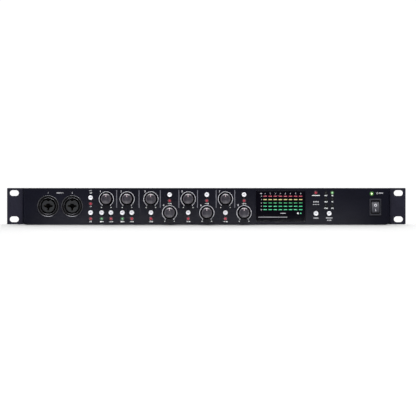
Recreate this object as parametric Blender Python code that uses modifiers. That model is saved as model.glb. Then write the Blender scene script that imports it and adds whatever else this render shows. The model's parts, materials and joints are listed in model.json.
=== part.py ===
"""A rack-mounted audio interface, one rack unit high, built as an assembly.

Frame: +X to the right, +Z up, the front faces -Y. Z = 0 is the flat underside, and the
origin is under the middle of the overall width and depth. All lengths are in metres.
"""
import math

import bmesh
import bpy

# ---- Rack standard and overall size ----------------------------------------------------
RACK_WIDTH = 0.4826
UNIT_HEIGHT = 0.04445
EAR_HEIGHT = 0.04366
SLOT_SPAN_X = 0.4651
SLOT_SPAN_Z = 0.03175
SLOT_LENGTH = 0.0110
SLOT_HEIGHT = 0.0069
OVERALL_DEPTH = 0.260
FIT_GAP = 0.0003
SEAT = 0.0003
REACH = 0.010

# ---- Depth stations, front to back ------------------------------------------------------
KNOB_LENGTH = 0.0125
FRONT_FACE_Y = -OVERALL_DEPTH / 2 + KNOB_LENGTH
EAR_PLANE_Y = FRONT_FACE_Y + 0.0080
FASCIA_BACK_Y = EAR_PLANE_Y - FIT_GAP
SHEET = 0.0012
EAR_THICKNESS = 0.0025
EAR_LEG_THICKNESS = 0.002
EAR_LEG_DEPTH = 0.050
WALL_BACK_Y = EAR_PLANE_Y + SHEET
BOARD_FRONT_Y = EAR_PLANE_Y + 0.0079
BOARD_THICKNESS = 0.0016
REAR_PROJECTION = 0.0105
REAR_WALL_Y = OVERALL_DEPTH / 2 - REAR_PROJECTION

# ---- Fascia -----------------------------------------------------------------------------
FASCIA_FRONT_HALF = 0.2206
FASCIA_BACK_HALF = 0.2224
FASCIA_HEIGHT = 0.0441
FASCIA_CORNER_RUN = 0.0046
FASCIA_CORNER_RISE = 0.0014
FASCIA_EDGE_ROUND = 0.0018

# ---- Chassis ----------------------------------------------------------------------------
CHASSIS_HALF = 0.2200
COVER_TOP_Z = 0.0434
TRAY_HALF = CHASSIS_HALF - SHEET - FIT_GAP
TRAY_WALL_TOP_Z = COVER_TOP_Z - SHEET - FIT_GAP
SIDE_LIP_Z = 0.012
MID_Z = 0.0225
VENT_COUNT = 14
VENT_PITCH = 0.008
VENT_WIDTH = 0.003
VENT_MIDDLE_Y = 0.020
VENT_LOW_Z = 0.018
VENT_HIGH_Z = 0.034
WINDOW_MIDDLE_Z = 0.0221
WINDOW_HEIGHT = 0.0375
NARROW_WINDOW, KNOB_WINDOW, CLOCK_WINDOW = 0.0105, 0.0195, 0.0320

# ---- Controls on the fascia ---------------------------------------------------------------
UPPER_KNOB_Z = 0.0311
LOWER_KNOB_Z = 0.0144
BUTTON_ROW_Z = 0.0146
UPPER_BUTTON_Z = 0.0363
FIRST_KNOB_X = -0.1208
SECOND_KNOB_X = -0.0957
THIRD_KNOB_X = -0.0669
LINE_PITCH = 0.0225
PAIR_OFFSET = 0.0056
PHANTOM_X = -0.1397
PHANTOM_UPPER_Z = 0.0327
SYNC_BUTTON = (0.1324, 0.0136)
RATE_BUTTON = (0.1483, 0.0136)
LED_DROP = 0.0076
SYNC_LED = (0.1322, 0.0386)
RATE_LED_COLUMNS = (0.1445, 0.1521)
RATE_LED_ROWS = (0.0386, 0.0311, 0.0232)
POWER_LED = (0.1997, 0.0375)

KNOB_FACE_RADIUS = 0.0061
KNOB_ROOT_RADIUS = 0.0063
KNOB_SKIRT_RADIUS = 0.0074
KNOB_CLEARANCE = 0.0005
KNOB_BORE_END = 0.0105
SHAFT_RADIUS = 0.0030
BORE_RADIUS = SHAFT_RADIUS + FIT_GAP
BUSHING_RADIUS = 0.0039
POT_BODY = (0.0110, 0.0120)
KEY_SWITCH = (0.0060, 0.0060)
BUTTON_RADIUS = 0.0029
BUTTON_FLANGE_RADIUS = 0.0038
BUTTON_TRAVEL = 0.0012
BUTTON_FLANGE_Y = FASCIA_BACK_Y + FIT_GAP
BUTTON_TIP_Y = BUTTON_FLANGE_Y + 0.0025
KEY_SWITCH_Y = BUTTON_TIP_Y + BUTTON_TRAVEL + FIT_GAP
LED_RADIUS = 0.00105
POWER_LENS_RADIUS = 0.0015
POWER_FLANGE_RADIUS = 0.0022

# ---- Meter, power switch and sockets ------------------------------------------------------
METER_CENTRE = (0.0897, 0.0224)
METER_OPENING = (0.0587, 0.0354)
METER_FLANGE = (0.0615, 0.0380)
METER_FLANGE_THICKNESS = 0.0012
METER_LIGHTS = (0.0520, 0.0280)
METER_WALL_WINDOW = (0.0590, 0.0350)
METER_SEAT_DEPTH = 0.003
METER_FLANGE_Y = FRONT_FACE_Y + METER_SEAT_DEPTH + FIT_GAP
SWITCH_CENTRE = (0.2042, 0.0213)
SWITCH_BEZEL = (0.0144, 0.0202)
SWITCH_BODY = (0.0120, 0.0180)
SWITCH_WINDOW = (0.0110, 0.0160)
ROCKER_WIDTH = 0.0104
ROCKER_TILT = math.radians(10)
BEZEL_DEPTH = 0.0015
BEZEL_FRONT_Y = FRONT_FACE_Y - FIT_GAP - BEZEL_DEPTH
ROCKER_PIVOT_Y = BEZEL_FRONT_Y + 0.0011
SWITCH_BACK_Y = EAR_PLANE_Y + 0.0115

SOCKET_RADIUS = 0.0129
SOCKET_HOLE_RADIUS = 0.0132
SOCKET_BODY = (0.0250, 0.0280)
SOCKET_COLLAR_LENGTH = 0.0098
SOCKET_LENGTH = 0.0310
PLUG_BORE_RADIUS = 0.0034
PLUG_BORE_DEPTH = 0.024
GROOVE_INNER_RADIUS, GROOVE_OUTER_RADIUS, GROOVE_DEPTH = 0.0079, 0.0111, 0.0090
PIN_HOLES = ((-0.0046, 0.0), (0.0046, 0.0), (0.0, -0.0050))
PIN_HOLE_RADIUS = 0.0013
PIN_HOLE_DEPTH = 0.012
FRONT_SOCKETS_X = (-0.1910, -0.16205)
REAR_SOCKET_FIRST_X = -0.195
REAR_SOCKET_PITCH = 0.029
REAR_SOCKET_COUNT = 6
OUTPUT_JACKS_X = (-0.017, -0.0005, 0.016, 0.0325)
OUTPUT_LOWER_Z = 0.0146
OUTPUT_UPPER_Z = 0.0295
JACK_BUSHING_RADIUS = 0.0046
JACK_BORE_DEPTH = 0.020
JACK_BLOCK_HALF = 0.0325
JACK_BLOCK_DEPTH = 0.026
OPTICAL_X = (0.0600, 0.0750)
OPTICAL_Z = 0.0146
OPTICAL_CENTRE = (sum(OPTICAL_X) / 2, OPTICAL_Z)
OPTICAL_BODY = (0.0294, 0.0118)
OPTICAL_MOUTH = (0.0088, 0.0088)
CLOCK_JACK = (0.1040, 0.0160)
CLOCK_THREAD_RADIUS = 0.0053
INLET_CENTRE = (0.1900, 0.0220)
INLET_FLANGE = (0.0500, 0.0274)
INLET_BODY = (0.0270, 0.0200)
INLET_CAVITY = (0.0242, 0.0164)
INLET_PIN_X, INLET_PIN_Z = 0.0070, 0.0020
INLET_BACK_Y = REAR_WALL_Y - 0.0220

# ---- Boards inside ----------------------------------------------------------------------
BOARD_TOP_Z = 0.0078
BOARD_BOTTOM_Z = BOARD_TOP_Z - BOARD_THICKNESS
COMPONENT_BASE_Z = BOARD_TOP_Z + FIT_GAP
STANDOFF_RADIUS = 0.003
STANDOFF_TOP_Z = BOARD_BOTTOM_Z - FIT_GAP
MAIN_BOARD = ((-0.2080, -0.0930), (0.1180, 0.1120))
MAIN_BOARD_TONGUE = (-0.1490, -0.1050)
CHANNEL_PARTS_X = [-0.190 + channel * 0.026 for channel in range(8)]
SUPPLY_BOARD = ((0.1280, -0.0660), (0.2130, 0.0860))
MAIN_STANDOFFS_X, MAIN_STANDOFFS_Y = (-0.200, -0.060, 0.108), (-0.085, 0.080)
SUPPLY_STANDOFFS_X, SUPPLY_STANDOFFS_Y = (0.134, 0.208), (-0.058, 0.078)
CAPACITORS_X = 0.144
CONTROL_BOARD_LOW, CONTROL_BOARD_HIGH = (-0.1450, 0.0025), (0.1575, 0.0410)
CONTROL_HEADER, HEADER_SIZE, HEADER_TOP_Z = (-0.0200, 0.0205), (0.0300, 0.0060), 0.0130

FACING_FRONT = (math.pi / 2, 0.0, 0.0)

KNOBS = [(FIRST_KNOB_X, UPPER_KNOB_Z), (SECOND_KNOB_X, UPPER_KNOB_Z)]
KNOBS += [(THIRD_KNOB_X + LINE_PITCH * step, (UPPER_KNOB_Z, LOWER_KNOB_Z)[step % 2])
          for step in range(6)]

PAD_BUTTONS = [(x + PAIR_OFFSET, BUTTON_ROW_Z) for x, _ in KNOBS[:2]]
PAD_BUTTONS += [(x, BUTTON_ROW_Z if z == UPPER_KNOB_Z else UPPER_BUTTON_Z)
                for x, z in KNOBS[2:]]

BUTTONS = {
    "phantom_button_low": (PHANTOM_X, PHANTOM_UPPER_Z),
    "phantom_button_high": (PHANTOM_X, BUTTON_ROW_Z),
    "inst_button_1": (FIRST_KNOB_X - PAIR_OFFSET, BUTTON_ROW_Z),
    "inst_button_2": (SECOND_KNOB_X - PAIR_OFFSET, BUTTON_ROW_Z),
    "sync_button": SYNC_BUTTON,
    "rate_button": RATE_BUTTON,
}
BUTTONS.update({f"pad_button_{number}": place
                for number, place in enumerate(PAD_BUTTONS, start=1)})

LEDS = [(x, z - LED_DROP) for name, (x, z) in BUTTONS.items()
        if name not in ("sync_button", "rate_button")]
LEDS += [SYNC_LED] + [(x, z) for x in RATE_LED_COLUMNS for z in RATE_LED_ROWS]

REAR_SOCKETS_X = [REAR_SOCKET_FIRST_X + REAR_SOCKET_PITCH * step
                  for step in range(REAR_SOCKET_COUNT)]


# ---- Shape helpers ------------------------------------------------------------------------
def clear_scene():
    for item in list(bpy.data.objects):
        bpy.data.objects.remove(item, do_unlink=True)


def make_collection(name):
    collection = bpy.data.collections.new(name)
    bpy.context.scene.collection.children.link(collection)
    return collection


def material(name, colour, roughness, metallic=0.0):
    finish = bpy.data.materials.new(name)
    finish.use_nodes = True
    shader = finish.node_tree.nodes["Principled BSDF"]
    shader.inputs["Base Color"].default_value = (*colour, 1.0)
    shader.inputs["Roughness"].default_value = roughness
    shader.inputs["Metallic"].default_value = metallic
    return finish


def part(name, mesh, finish, location=(0, 0, 0), rotation=(0, 0, 0)):
    """A named sub-part of the object, with its own finish."""
    piece = bpy.data.objects.new(name, mesh)
    if finish.name not in mesh.materials:
        mesh.materials.append(finish)
    piece.location = location
    piece.rotation_euler = rotation
    PARTS.objects.link(piece)
    return piece


def tool(name, mesh):
    """A body that a Boolean cuts with or joins on. It isn't a sub-part."""
    helper = bpy.data.objects.new(name, mesh)
    helper.hide_render = True
    helper.display_type = 'WIRE'
    CUTTERS.objects.link(helper)
    return helper


def combine(piece, operation, helper):
    modifier = piece.modifiers.new(operation.title(), 'BOOLEAN')
    modifier.operation = operation
    modifier.solver = 'EXACT'
    modifier.object = helper


def settled_mesh(piece, name):
    """The mesh of a finished piece with its modifiers applied, to share among copies."""
    bpy.context.view_layer.update()
    graph = bpy.context.evaluated_depsgraph_get()
    mesh = bpy.data.meshes.new_from_object(piece.evaluated_get(graph))
    mesh.name = name
    bpy.data.objects.remove(piece, do_unlink=True)
    return mesh


def add_box(bm, low, high):
    box = bmesh.ops.create_cube(bm, size=1.0)
    for vert in box["verts"]:
        for axis in range(3):
            vert.co[axis] = low[axis] + (vert.co[axis] + 0.5) * (high[axis] - low[axis])
    return box["verts"]


def add_box_at(bm, centre, size, y_front, y_back):
    """A box seen from the front: centre and size in X and Z, from y_front to y_back."""
    (x, z), (width, height) = centre, size
    add_box(bm, (x - width / 2, y_front, z - height / 2), (x + width / 2, y_back, z + height / 2))


def add_rod(bm, place, radius, sides, y_front, y_back):
    """A round rod along Y, at place = (x, z)."""
    rod = bmesh.ops.create_cone(bm, cap_ends=True, segments=sides, radius1=radius,
                                radius2=radius, depth=y_back - y_front)
    for vert in rod["verts"]:
        x, y, z = vert.co
        vert.co = (place[0] + x, (y_front + y_back) / 2 - z, place[1] + y)
    return rod["verts"]


def add_post(bm, x, y, radius, sides, z_low, z_high):
    """An upright round post."""
    post = bmesh.ops.create_cone(bm, cap_ends=True, segments=sides, radius1=radius,
                                 radius2=radius, depth=z_high - z_low)
    for vert in post["verts"]:
        vert.co.x += x
        vert.co.y += y
        vert.co.z += (z_low + z_high) / 2


def mesh_of(name, build):
    """A mesh that build(bm) fills."""
    bm = bmesh.new()
    build(bm)
    mesh = bpy.data.meshes.new(name)
    bm.to_mesh(mesh)
    bm.free()
    return mesh


def outline_mesh(name, points, thickness):
    """A flat outline in the local XY plane, thickened evenly along Z."""
    curve = bpy.data.curves.new(name, 'CURVE')
    curve.dimensions = '2D'
    curve.fill_mode = 'BOTH'
    curve.extrude = thickness / 2
    spline = curve.splines.new('POLY')
    spline.points.add(len(points) - 1)
    for point, (x, y) in zip(spline.points, points):
        point.co = (x, y, 0.0, 1.0)
    spline.use_cyclic_u = True
    flat = bpy.data.objects.new(name, curve)
    CUTTERS.objects.link(flat)
    mesh = settled_mesh(flat, name)
    bm = bmesh.new()
    bm.from_mesh(mesh)
    bmesh.ops.remove_doubles(bm, verts=bm.verts, dist=0.00001)
    bmesh.ops.dissolve_limit(bm, angle_limit=0.01, verts=bm.verts, edges=bm.edges)
    bm.to_mesh(mesh)
    bm.free()
    return mesh


def turned(name, profile, sides, finish):
    """A turned piece: profile is (radius, forward) pairs, front to back, on its outer side."""
    mesh = bpy.data.meshes.new(name)
    points = [(radius, 0.0, forward) for radius, forward in profile]
    mesh.from_pydata(points, [(i, i + 1) for i in range(len(points) - 1)], [])
    piece = part(name, mesh, finish)
    screw = piece.modifiers.new("Turn", 'SCREW')
    screw.axis = 'Z'
    screw.steps = sides
    screw.render_steps = sides
    screw.use_merge_vertices = True
    screw.merge_threshold = 0.00001
    screw.use_smooth_shade = True
    return piece


# ---- Enclosure --------------------------------------------------------------------------
def make_front_panel():
    corner_x = FASCIA_FRONT_HALF
    points = [(-corner_x + FASCIA_CORNER_RUN, 0.0), (corner_x - FASCIA_CORNER_RUN, 0.0),
              (corner_x, FASCIA_CORNER_RISE), (corner_x, FASCIA_HEIGHT),
              (-corner_x, FASCIA_HEIGHT), (-corner_x, FASCIA_CORNER_RISE)]
    depth = FASCIA_BACK_Y - FRONT_FACE_Y
    mesh = outline_mesh("front_panel", points, depth)
    flare = FASCIA_BACK_HALF / FASCIA_FRONT_HALF
    for vert in mesh.vertices:
        if vert.co.z < 0:
            vert.co.x *= flare
    round_front_edges(mesh)
    finish = material("fascia_black", (0.030, 0.030, 0.033), 0.45)
    panel = part("front_panel", mesh, finish, (0, (FRONT_FACE_Y + FASCIA_BACK_Y) / 2, 0),
                 FACING_FRONT)
    combine(panel, 'DIFFERENCE', tool("front_panel_holes", mesh_of("holes", fascia_holes)))
    combine(panel, 'DIFFERENCE', tool("meter_pocket", mesh_of("pocket", meter_pocket)))


def round_front_edges(mesh):
    bm = bmesh.new()
    bm.from_mesh(mesh)
    edges = [edge for edge in bm.edges if all(vert.co.z > 0 for vert in edge.verts)]
    bmesh.ops.bevel(bm, geom=edges, offset=FASCIA_EDGE_ROUND, segments=2, profile=0.5,
                    affect='EDGES', clamp_overlap=True)
    bm.to_mesh(mesh)
    bm.free()


def fascia_holes(bm):
    front, back = FRONT_FACE_Y - REACH, FASCIA_BACK_Y + REACH
    for x in FRONT_SOCKETS_X:
        add_rod(bm, (x, MID_Z), SOCKET_HOLE_RADIUS, 20, front, back)
    for place in KNOBS:
        add_rod(bm, place, BUSHING_RADIUS + FIT_GAP, 12, front, back)
    for place in BUTTONS.values():
        add_rod(bm, place, BUTTON_RADIUS + FIT_GAP, 12, front, back)
    for place in LEDS:
        add_rod(bm, place, LED_RADIUS + FIT_GAP, 6, front, back)
    add_rod(bm, POWER_LED, POWER_LENS_RADIUS + FIT_GAP, 12, front, back)
    add_box_at(bm, METER_CENTRE, METER_OPENING, front, back)
    clearance = 2 * FIT_GAP
    size = (SWITCH_BODY[0] + clearance, SWITCH_BODY[1] + clearance)
    add_box_at(bm, SWITCH_CENTRE, size, front, back)


def meter_pocket(bm):
    """Recesses in the fascia's back for the flanges of the meter window and the power lens."""
    size = (METER_FLANGE[0] + 2 * FIT_GAP, METER_FLANGE[1] + 2 * FIT_GAP)
    add_box_at(bm, METER_CENTRE, size, FRONT_FACE_Y + METER_SEAT_DEPTH, FASCIA_BACK_Y + REACH)
    add_rod(bm, POWER_LED, POWER_FLANGE_RADIUS + FIT_GAP, 12, FASCIA_BACK_Y - 0.0015,
            FASCIA_BACK_Y + REACH)


def make_rack_ears():
    finish = material("ear_black", (0.055, 0.055, 0.066), 0.55)
    for side, name in ((-1, "rack_ear_left"), (1, "rack_ear_right")):
        inner, outer = CHASSIS_HALF + FIT_GAP, RACK_WIDTH / 2
        low_x, high_x = sorted((side * inner, side * outer))
        leg_low, leg_high = sorted((side * inner, side * (inner + EAR_LEG_THICKNESS)))
        low_z = UNIT_HEIGHT - EAR_HEIGHT

        def flange(bm):
            add_box(bm, (low_x, EAR_PLANE_Y, low_z),
                    (high_x, EAR_PLANE_Y + EAR_THICKNESS, UNIT_HEIGHT))

        def leg(bm):
            add_box(bm, (leg_low, EAR_PLANE_Y + 0.001, low_z + 0.003),
                    (leg_high, EAR_PLANE_Y + EAR_LEG_DEPTH, UNIT_HEIGHT - 0.004))

        def slots(bm):
            mid_z = (low_z + UNIT_HEIGHT) / 2
            for end in (-1, 1):
                add_slot(bm, (side * SLOT_SPAN_X / 2, mid_z + end * SLOT_SPAN_Z / 2))

        ear = part(name, mesh_of(name, flange), finish)
        combine(ear, 'UNION', tool(name + "_leg", mesh_of("leg", leg)))
        combine(ear, 'DIFFERENCE', tool(name + "_slots", mesh_of("slots", slots)))


def add_slot(bm, place):
    """A round-ended slot through the ear, longer along X."""
    radius = SLOT_HEIGHT / 2
    verts = add_rod(bm, place, radius, 16, EAR_PLANE_Y - REACH, EAR_PLANE_Y + REACH)
    spread = (SLOT_LENGTH - SLOT_HEIGHT) / 2
    for vert in verts:
        vert.co.x += math.copysign(spread, vert.co.x - place[0])


def make_tray():
    """The floor with its side lips and the standoffs that carry the boards."""
    front, back = WALL_BACK_Y + FIT_GAP, REAR_WALL_Y - SHEET - FIT_GAP

    def shell(bm):
        add_box(bm, (-TRAY_HALF, front, 0), (TRAY_HALF, back, SIDE_LIP_Z))

    def hollow(bm):
        inner = TRAY_HALF - SHEET
        add_box(bm, (-inner, front - REACH, SHEET), (inner, back + REACH, SIDE_LIP_Z + REACH))

    finish = material("chassis_black", (0.045, 0.045, 0.050), 0.5)
    tray = part("chassis_tray", mesh_of("chassis_tray", shell), finish)
    combine(tray, 'DIFFERENCE', tool("tray_hollow", mesh_of("hollow", hollow)))
    combine(tray, 'UNION', tool("standoffs", mesh_of("standoffs", standoffs)))


def make_walls():
    """The inner wall behind the fascia and the rear panel, which stand at the tray's ends."""
    finish = bpy.data.materials["chassis_black"]
    for name, front, openings in (("sub_panel", EAR_PLANE_Y, front_windows),
                                  ("rear_panel", REAR_WALL_Y - SHEET, rear_holes)):

        def wall(bm):
            add_box(bm, (-TRAY_HALF, front, 0), (TRAY_HALF, front + SHEET, TRAY_WALL_TOP_Z))

        piece = part(name, mesh_of(name, wall), finish)
        combine(piece, 'DIFFERENCE', tool(name + "_openings", mesh_of("openings", openings)))


def front_windows(bm):
    """Room for the sockets, the switch, the meter's lights and each group of controls."""
    front, back = EAR_PLANE_Y - REACH, WALL_BACK_Y + REACH
    for x in FRONT_SOCKETS_X:
        add_rod(bm, (x, MID_Z), SOCKET_HOLE_RADIUS, 20, front, back)
    windows = [(PHANTOM_X, NARROW_WINDOW)] + [(x, KNOB_WINDOW) for x, _ in KNOBS]
    windows += [((SYNC_BUTTON[0] + RATE_LED_COLUMNS[1]) / 2, CLOCK_WINDOW)]
    for x, width in windows:
        add_box_at(bm, (x, WINDOW_MIDDLE_Z), (width, WINDOW_HEIGHT), front, back)
    add_box_at(bm, METER_CENTRE, METER_WALL_WINDOW, front, back)
    clearance = 2 * FIT_GAP
    size = (SWITCH_BODY[0] + clearance, SWITCH_BODY[1] + clearance)
    add_box_at(bm, SWITCH_CENTRE, size, front, back)


def rear_holes(bm):
    front, back = REAR_WALL_Y - SHEET - REACH, REAR_WALL_Y + REACH
    clearance = 2 * FIT_GAP
    for x in REAR_SOCKETS_X:
        add_rod(bm, (x, MID_Z), SOCKET_HOLE_RADIUS, 20, front, back)
    for x in OUTPUT_JACKS_X:
        for z in (OUTPUT_LOWER_Z, OUTPUT_UPPER_Z):
            add_rod(bm, (x, z), JACK_BUSHING_RADIUS + FIT_GAP, 12, front, back)
    add_rod(bm, CLOCK_JACK, CLOCK_THREAD_RADIUS + FIT_GAP, 12, front, back)
    for centre, (width, height) in ((OPTICAL_CENTRE, OPTICAL_BODY), (INLET_CENTRE, INLET_BODY)):
        add_box_at(bm, centre, (width + clearance, height + clearance), front, back)


def standoffs(bm):
    for xs, ys in ((MAIN_STANDOFFS_X, MAIN_STANDOFFS_Y), (SUPPLY_STANDOFFS_X, SUPPLY_STANDOFFS_Y)):
        for x in xs:
            for y in ys:
                add_post(bm, x, y, STANDOFF_RADIUS, 6, SHEET - SEAT, STANDOFF_TOP_Z)


def make_cover():
    front = EAR_PLANE_Y + FIT_GAP

    def shell(bm):
        add_box(bm, (-CHASSIS_HALF, front, FIT_GAP), (CHASSIS_HALF, REAR_WALL_Y, COVER_TOP_Z))

    def hollow(bm):
        inner = CHASSIS_HALF - SHEET
        add_box(bm, (-inner, front - REACH, -REACH), (inner, REAR_WALL_Y + REACH, COVER_TOP_Z - SHEET))

    def vents(bm):
        reach = CHASSIS_HALF + REACH
        for step in range(VENT_COUNT):
            y = (step - (VENT_COUNT - 1) / 2) * VENT_PITCH + VENT_MIDDLE_Y
            add_box(bm, (-reach, y - VENT_WIDTH / 2, VENT_LOW_Z),
                    (reach, y + VENT_WIDTH / 2, VENT_HIGH_Z))

    finish = material("cover_black", (0.040, 0.040, 0.044), 0.5)
    cover = part("top_cover", mesh_of("top_cover", shell), finish)
    combine(cover, 'DIFFERENCE', tool("cover_hollow", mesh_of("hollow", hollow)))
    combine(cover, 'DIFFERENCE', tool("cover_vents", mesh_of("vents", vents)))


# ---- Controls -------------------------------------------------------------------------------
def make_knobs():
    knob_finish = material("knob_grey", (0.10, 0.10, 0.12), 0.5)
    shaft_finish = material("shaft_steel", (0.55, 0.55, 0.57), 0.35, 1.0)
    profile = [(0.0, KNOB_LENGTH), (KNOB_FACE_RADIUS, KNOB_LENGTH), (KNOB_ROOT_RADIUS, 0.0040),
               (KNOB_SKIRT_RADIUS, 0.0032), (KNOB_SKIRT_RADIUS, KNOB_CLEARANCE),
               (BORE_RADIUS, KNOB_CLEARANCE), (BORE_RADIUS, KNOB_BORE_END), (0.0, KNOB_BORE_END)]
    blank = turned("knob_blank", profile, 20, knob_finish)
    groove = tool("pointer_groove", mesh_of("groove", pointer_groove))
    combine(blank, 'DIFFERENCE', groove)
    knob_mesh = settled_mesh(blank, "gain_knob")
    shaft_mesh = mesh_of("pot_shaft", shaft)
    for number, (x, z) in enumerate(KNOBS, start=1):
        part(f"gain_knob_{number}", knob_mesh, knob_finish, (x, FRONT_FACE_Y, z), FACING_FRONT)
        part(f"pot_shaft_{number}", shaft_mesh, shaft_finish, (x, FRONT_FACE_Y, z), FACING_FRONT)


def pointer_groove(bm):
    """The pointer line, from near the middle of the face out over its edge."""
    add_box(bm, (-0.0006, 0.0025, KNOB_LENGTH - 0.0004), (0.0006, 0.0080, KNOB_LENGTH + 0.002))


def shaft(bm):
    front, back = KNOB_BORE_END - FIT_GAP, -0.0130
    bmesh.ops.create_cone(bm, cap_ends=True, segments=12, radius1=SHAFT_RADIUS,
                          radius2=SHAFT_RADIUS, depth=front - back)
    for vert in bm.verts:
        vert.co.z += (front + back) / 2
        vert.co.y = min(vert.co.y, SHAFT_RADIUS * 0.75)


def make_buttons():
    finish = material("button_white", (0.85, 0.85, 0.87), 0.35)
    flange_front = FRONT_FACE_Y - BUTTON_FLANGE_Y
    profile = [(0.0, 0.0020), (BUTTON_RADIUS - 0.0006, 0.0024), (BUTTON_RADIUS, 0.0019),
               (BUTTON_RADIUS, flange_front), (BUTTON_FLANGE_RADIUS, flange_front),
               (BUTTON_FLANGE_RADIUS, flange_front - 0.0010),
               (0.0, FRONT_FACE_Y - BUTTON_TIP_Y)]
    button_mesh = settled_mesh(turned("button_blank", profile, 12, finish), "button")
    for name, (x, z) in BUTTONS.items():
        part(name, button_mesh, finish, (x, FRONT_FACE_Y, z), FACING_FRONT)


def make_power_switch():
    frame_finish = material("switch_frame_black", (0.02, 0.02, 0.02), 0.4)
    rocker_finish = material("rocker_black", (0.06, 0.06, 0.07), 0.35)

    def bezel(bm):
        add_box_at(bm, SWITCH_CENTRE, SWITCH_BEZEL, BEZEL_FRONT_Y, BEZEL_FRONT_Y + BEZEL_DEPTH)

    def body(bm):
        add_box_at(bm, SWITCH_CENTRE, SWITCH_BODY, BEZEL_FRONT_Y + 0.0005, SWITCH_BACK_Y)

    def window(bm):
        add_box_at(bm, SWITCH_CENTRE, SWITCH_WINDOW, BEZEL_FRONT_Y - REACH, FRONT_FACE_Y + 0.006)

    frame = part("switch_frame", mesh_of("switch_frame", bezel), frame_finish)
    combine(frame, 'UNION', tool("switch_body", mesh_of("body", body)))
    combine(frame, 'DIFFERENCE', tool("switch_window", mesh_of("window", window)))

    half = [(0.0045, 0.0030), (0.0030, 0.0069), (0.0, 0.0077), (-0.0012, 0.0073),
            (-0.0020, 0.0058)]
    profile = half + [(-0.0023, 0.0)] + [(y, -z) for y, z in reversed(half)]
    mesh = outline_mesh("power_rocker", profile, ROCKER_WIDTH)
    for vert in mesh.vertices:
        y, z, x = vert.co
        lean_y = y * math.cos(ROCKER_TILT) + z * math.sin(ROCKER_TILT)
        lean_z = z * math.cos(ROCKER_TILT) - y * math.sin(ROCKER_TILT)
        vert.co = (x, lean_y, lean_z)
    part("power_rocker", mesh, rocker_finish, (SWITCH_CENTRE[0], ROCKER_PIVOT_Y, SWITCH_CENTRE[1]))


def make_power_led():
    finish = material("led_green", (0.6, 0.9, 0.3), 0.2)
    flange = FRONT_FACE_Y - FASCIA_BACK_Y + 0.0013
    profile = [(0.0, 0.0008), (0.0010, 0.0005), (POWER_LENS_RADIUS, 0.0),
               (POWER_LENS_RADIUS, flange), (POWER_FLANGE_RADIUS, flange),
               (POWER_FLANGE_RADIUS, flange - 0.0010), (0.0, flange - 0.0010)]
    mesh = settled_mesh(turned("led_blank", profile, 12, finish), "power_led")
    part("power_led", mesh, finish, (POWER_LED[0], FRONT_FACE_Y, POWER_LED[1]), FACING_FRONT)


def make_meter():
    """The window of the level meter, held by a flange behind the fascia."""
    finish = material("meter_window_black", (0.008, 0.008, 0.010), 0.08)

    def plate(bm):
        size = (METER_OPENING[0] - 2 * FIT_GAP, METER_OPENING[1] - 2 * FIT_GAP)
        add_box_at(bm, METER_CENTRE, size, FRONT_FACE_Y + 0.0002, METER_FLANGE_Y + SEAT)

    def flange(bm):
        add_box_at(bm, METER_CENTRE, METER_FLANGE, METER_FLANGE_Y,
                   METER_FLANGE_Y + METER_FLANGE_THICKNESS)

    window = part("meter_window", mesh_of("meter_window", plate), finish)
    combine(window, 'UNION', tool("window_flange", mesh_of("flange", flange)))


def make_control_board():
    """The upright board with its pots, key switches, lamps and meter lights soldered on."""
    board_back = BOARD_FRONT_Y + BOARD_THICKNESS
    pot_front = WALL_BACK_Y + FIT_GAP

    def board(bm):
        add_box(bm, (CONTROL_BOARD_LOW[0], BOARD_FRONT_Y, CONTROL_BOARD_LOW[1]),
                (CONTROL_BOARD_HIGH[0], board_back, CONTROL_BOARD_HIGH[1]))

    def fittings(bm):
        for place in KNOBS:
            add_box_at(bm, place, POT_BODY, pot_front, BOARD_FRONT_Y + SEAT)
        for place in BUTTONS.values():
            add_box_at(bm, place, KEY_SWITCH, KEY_SWITCH_Y, BOARD_FRONT_Y + SEAT)
        for place in LEDS:
            add_rod(bm, place, LED_RADIUS, 6, FRONT_FACE_Y + 0.0002, BOARD_FRONT_Y + SEAT)
        add_box_at(bm, METER_CENTRE, METER_LIGHTS, METER_FLANGE_Y + METER_FLANGE_THICKNESS + FIT_GAP,
                   BOARD_FRONT_Y + SEAT)
        add_box_at(bm, CONTROL_HEADER, HEADER_SIZE, board_back - SEAT, board_back + 0.0050)

    def bushings(bm):
        for place in KNOBS:
            add_rod(bm, place, BUSHING_RADIUS, 12, FRONT_FACE_Y + 0.0040, pot_front + SEAT)

    def bores(bm):
        for place in KNOBS:
            add_rod(bm, place, BORE_RADIUS, 12, FRONT_FACE_Y, BOARD_FRONT_Y - 0.0022)

    finish = material("control_board_green", (0.02, 0.09, 0.04), 0.5)
    piece = part("control_board", mesh_of("control_board", board), finish)
    combine(piece, 'UNION', tool("board_fittings", mesh_of("fittings", fittings)))
    combine(piece, 'UNION', tool("pot_bushings", mesh_of("bushings", bushings)))
    combine(piece, 'DIFFERENCE', tool("pot_bores", mesh_of("bores", bores)))


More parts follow.
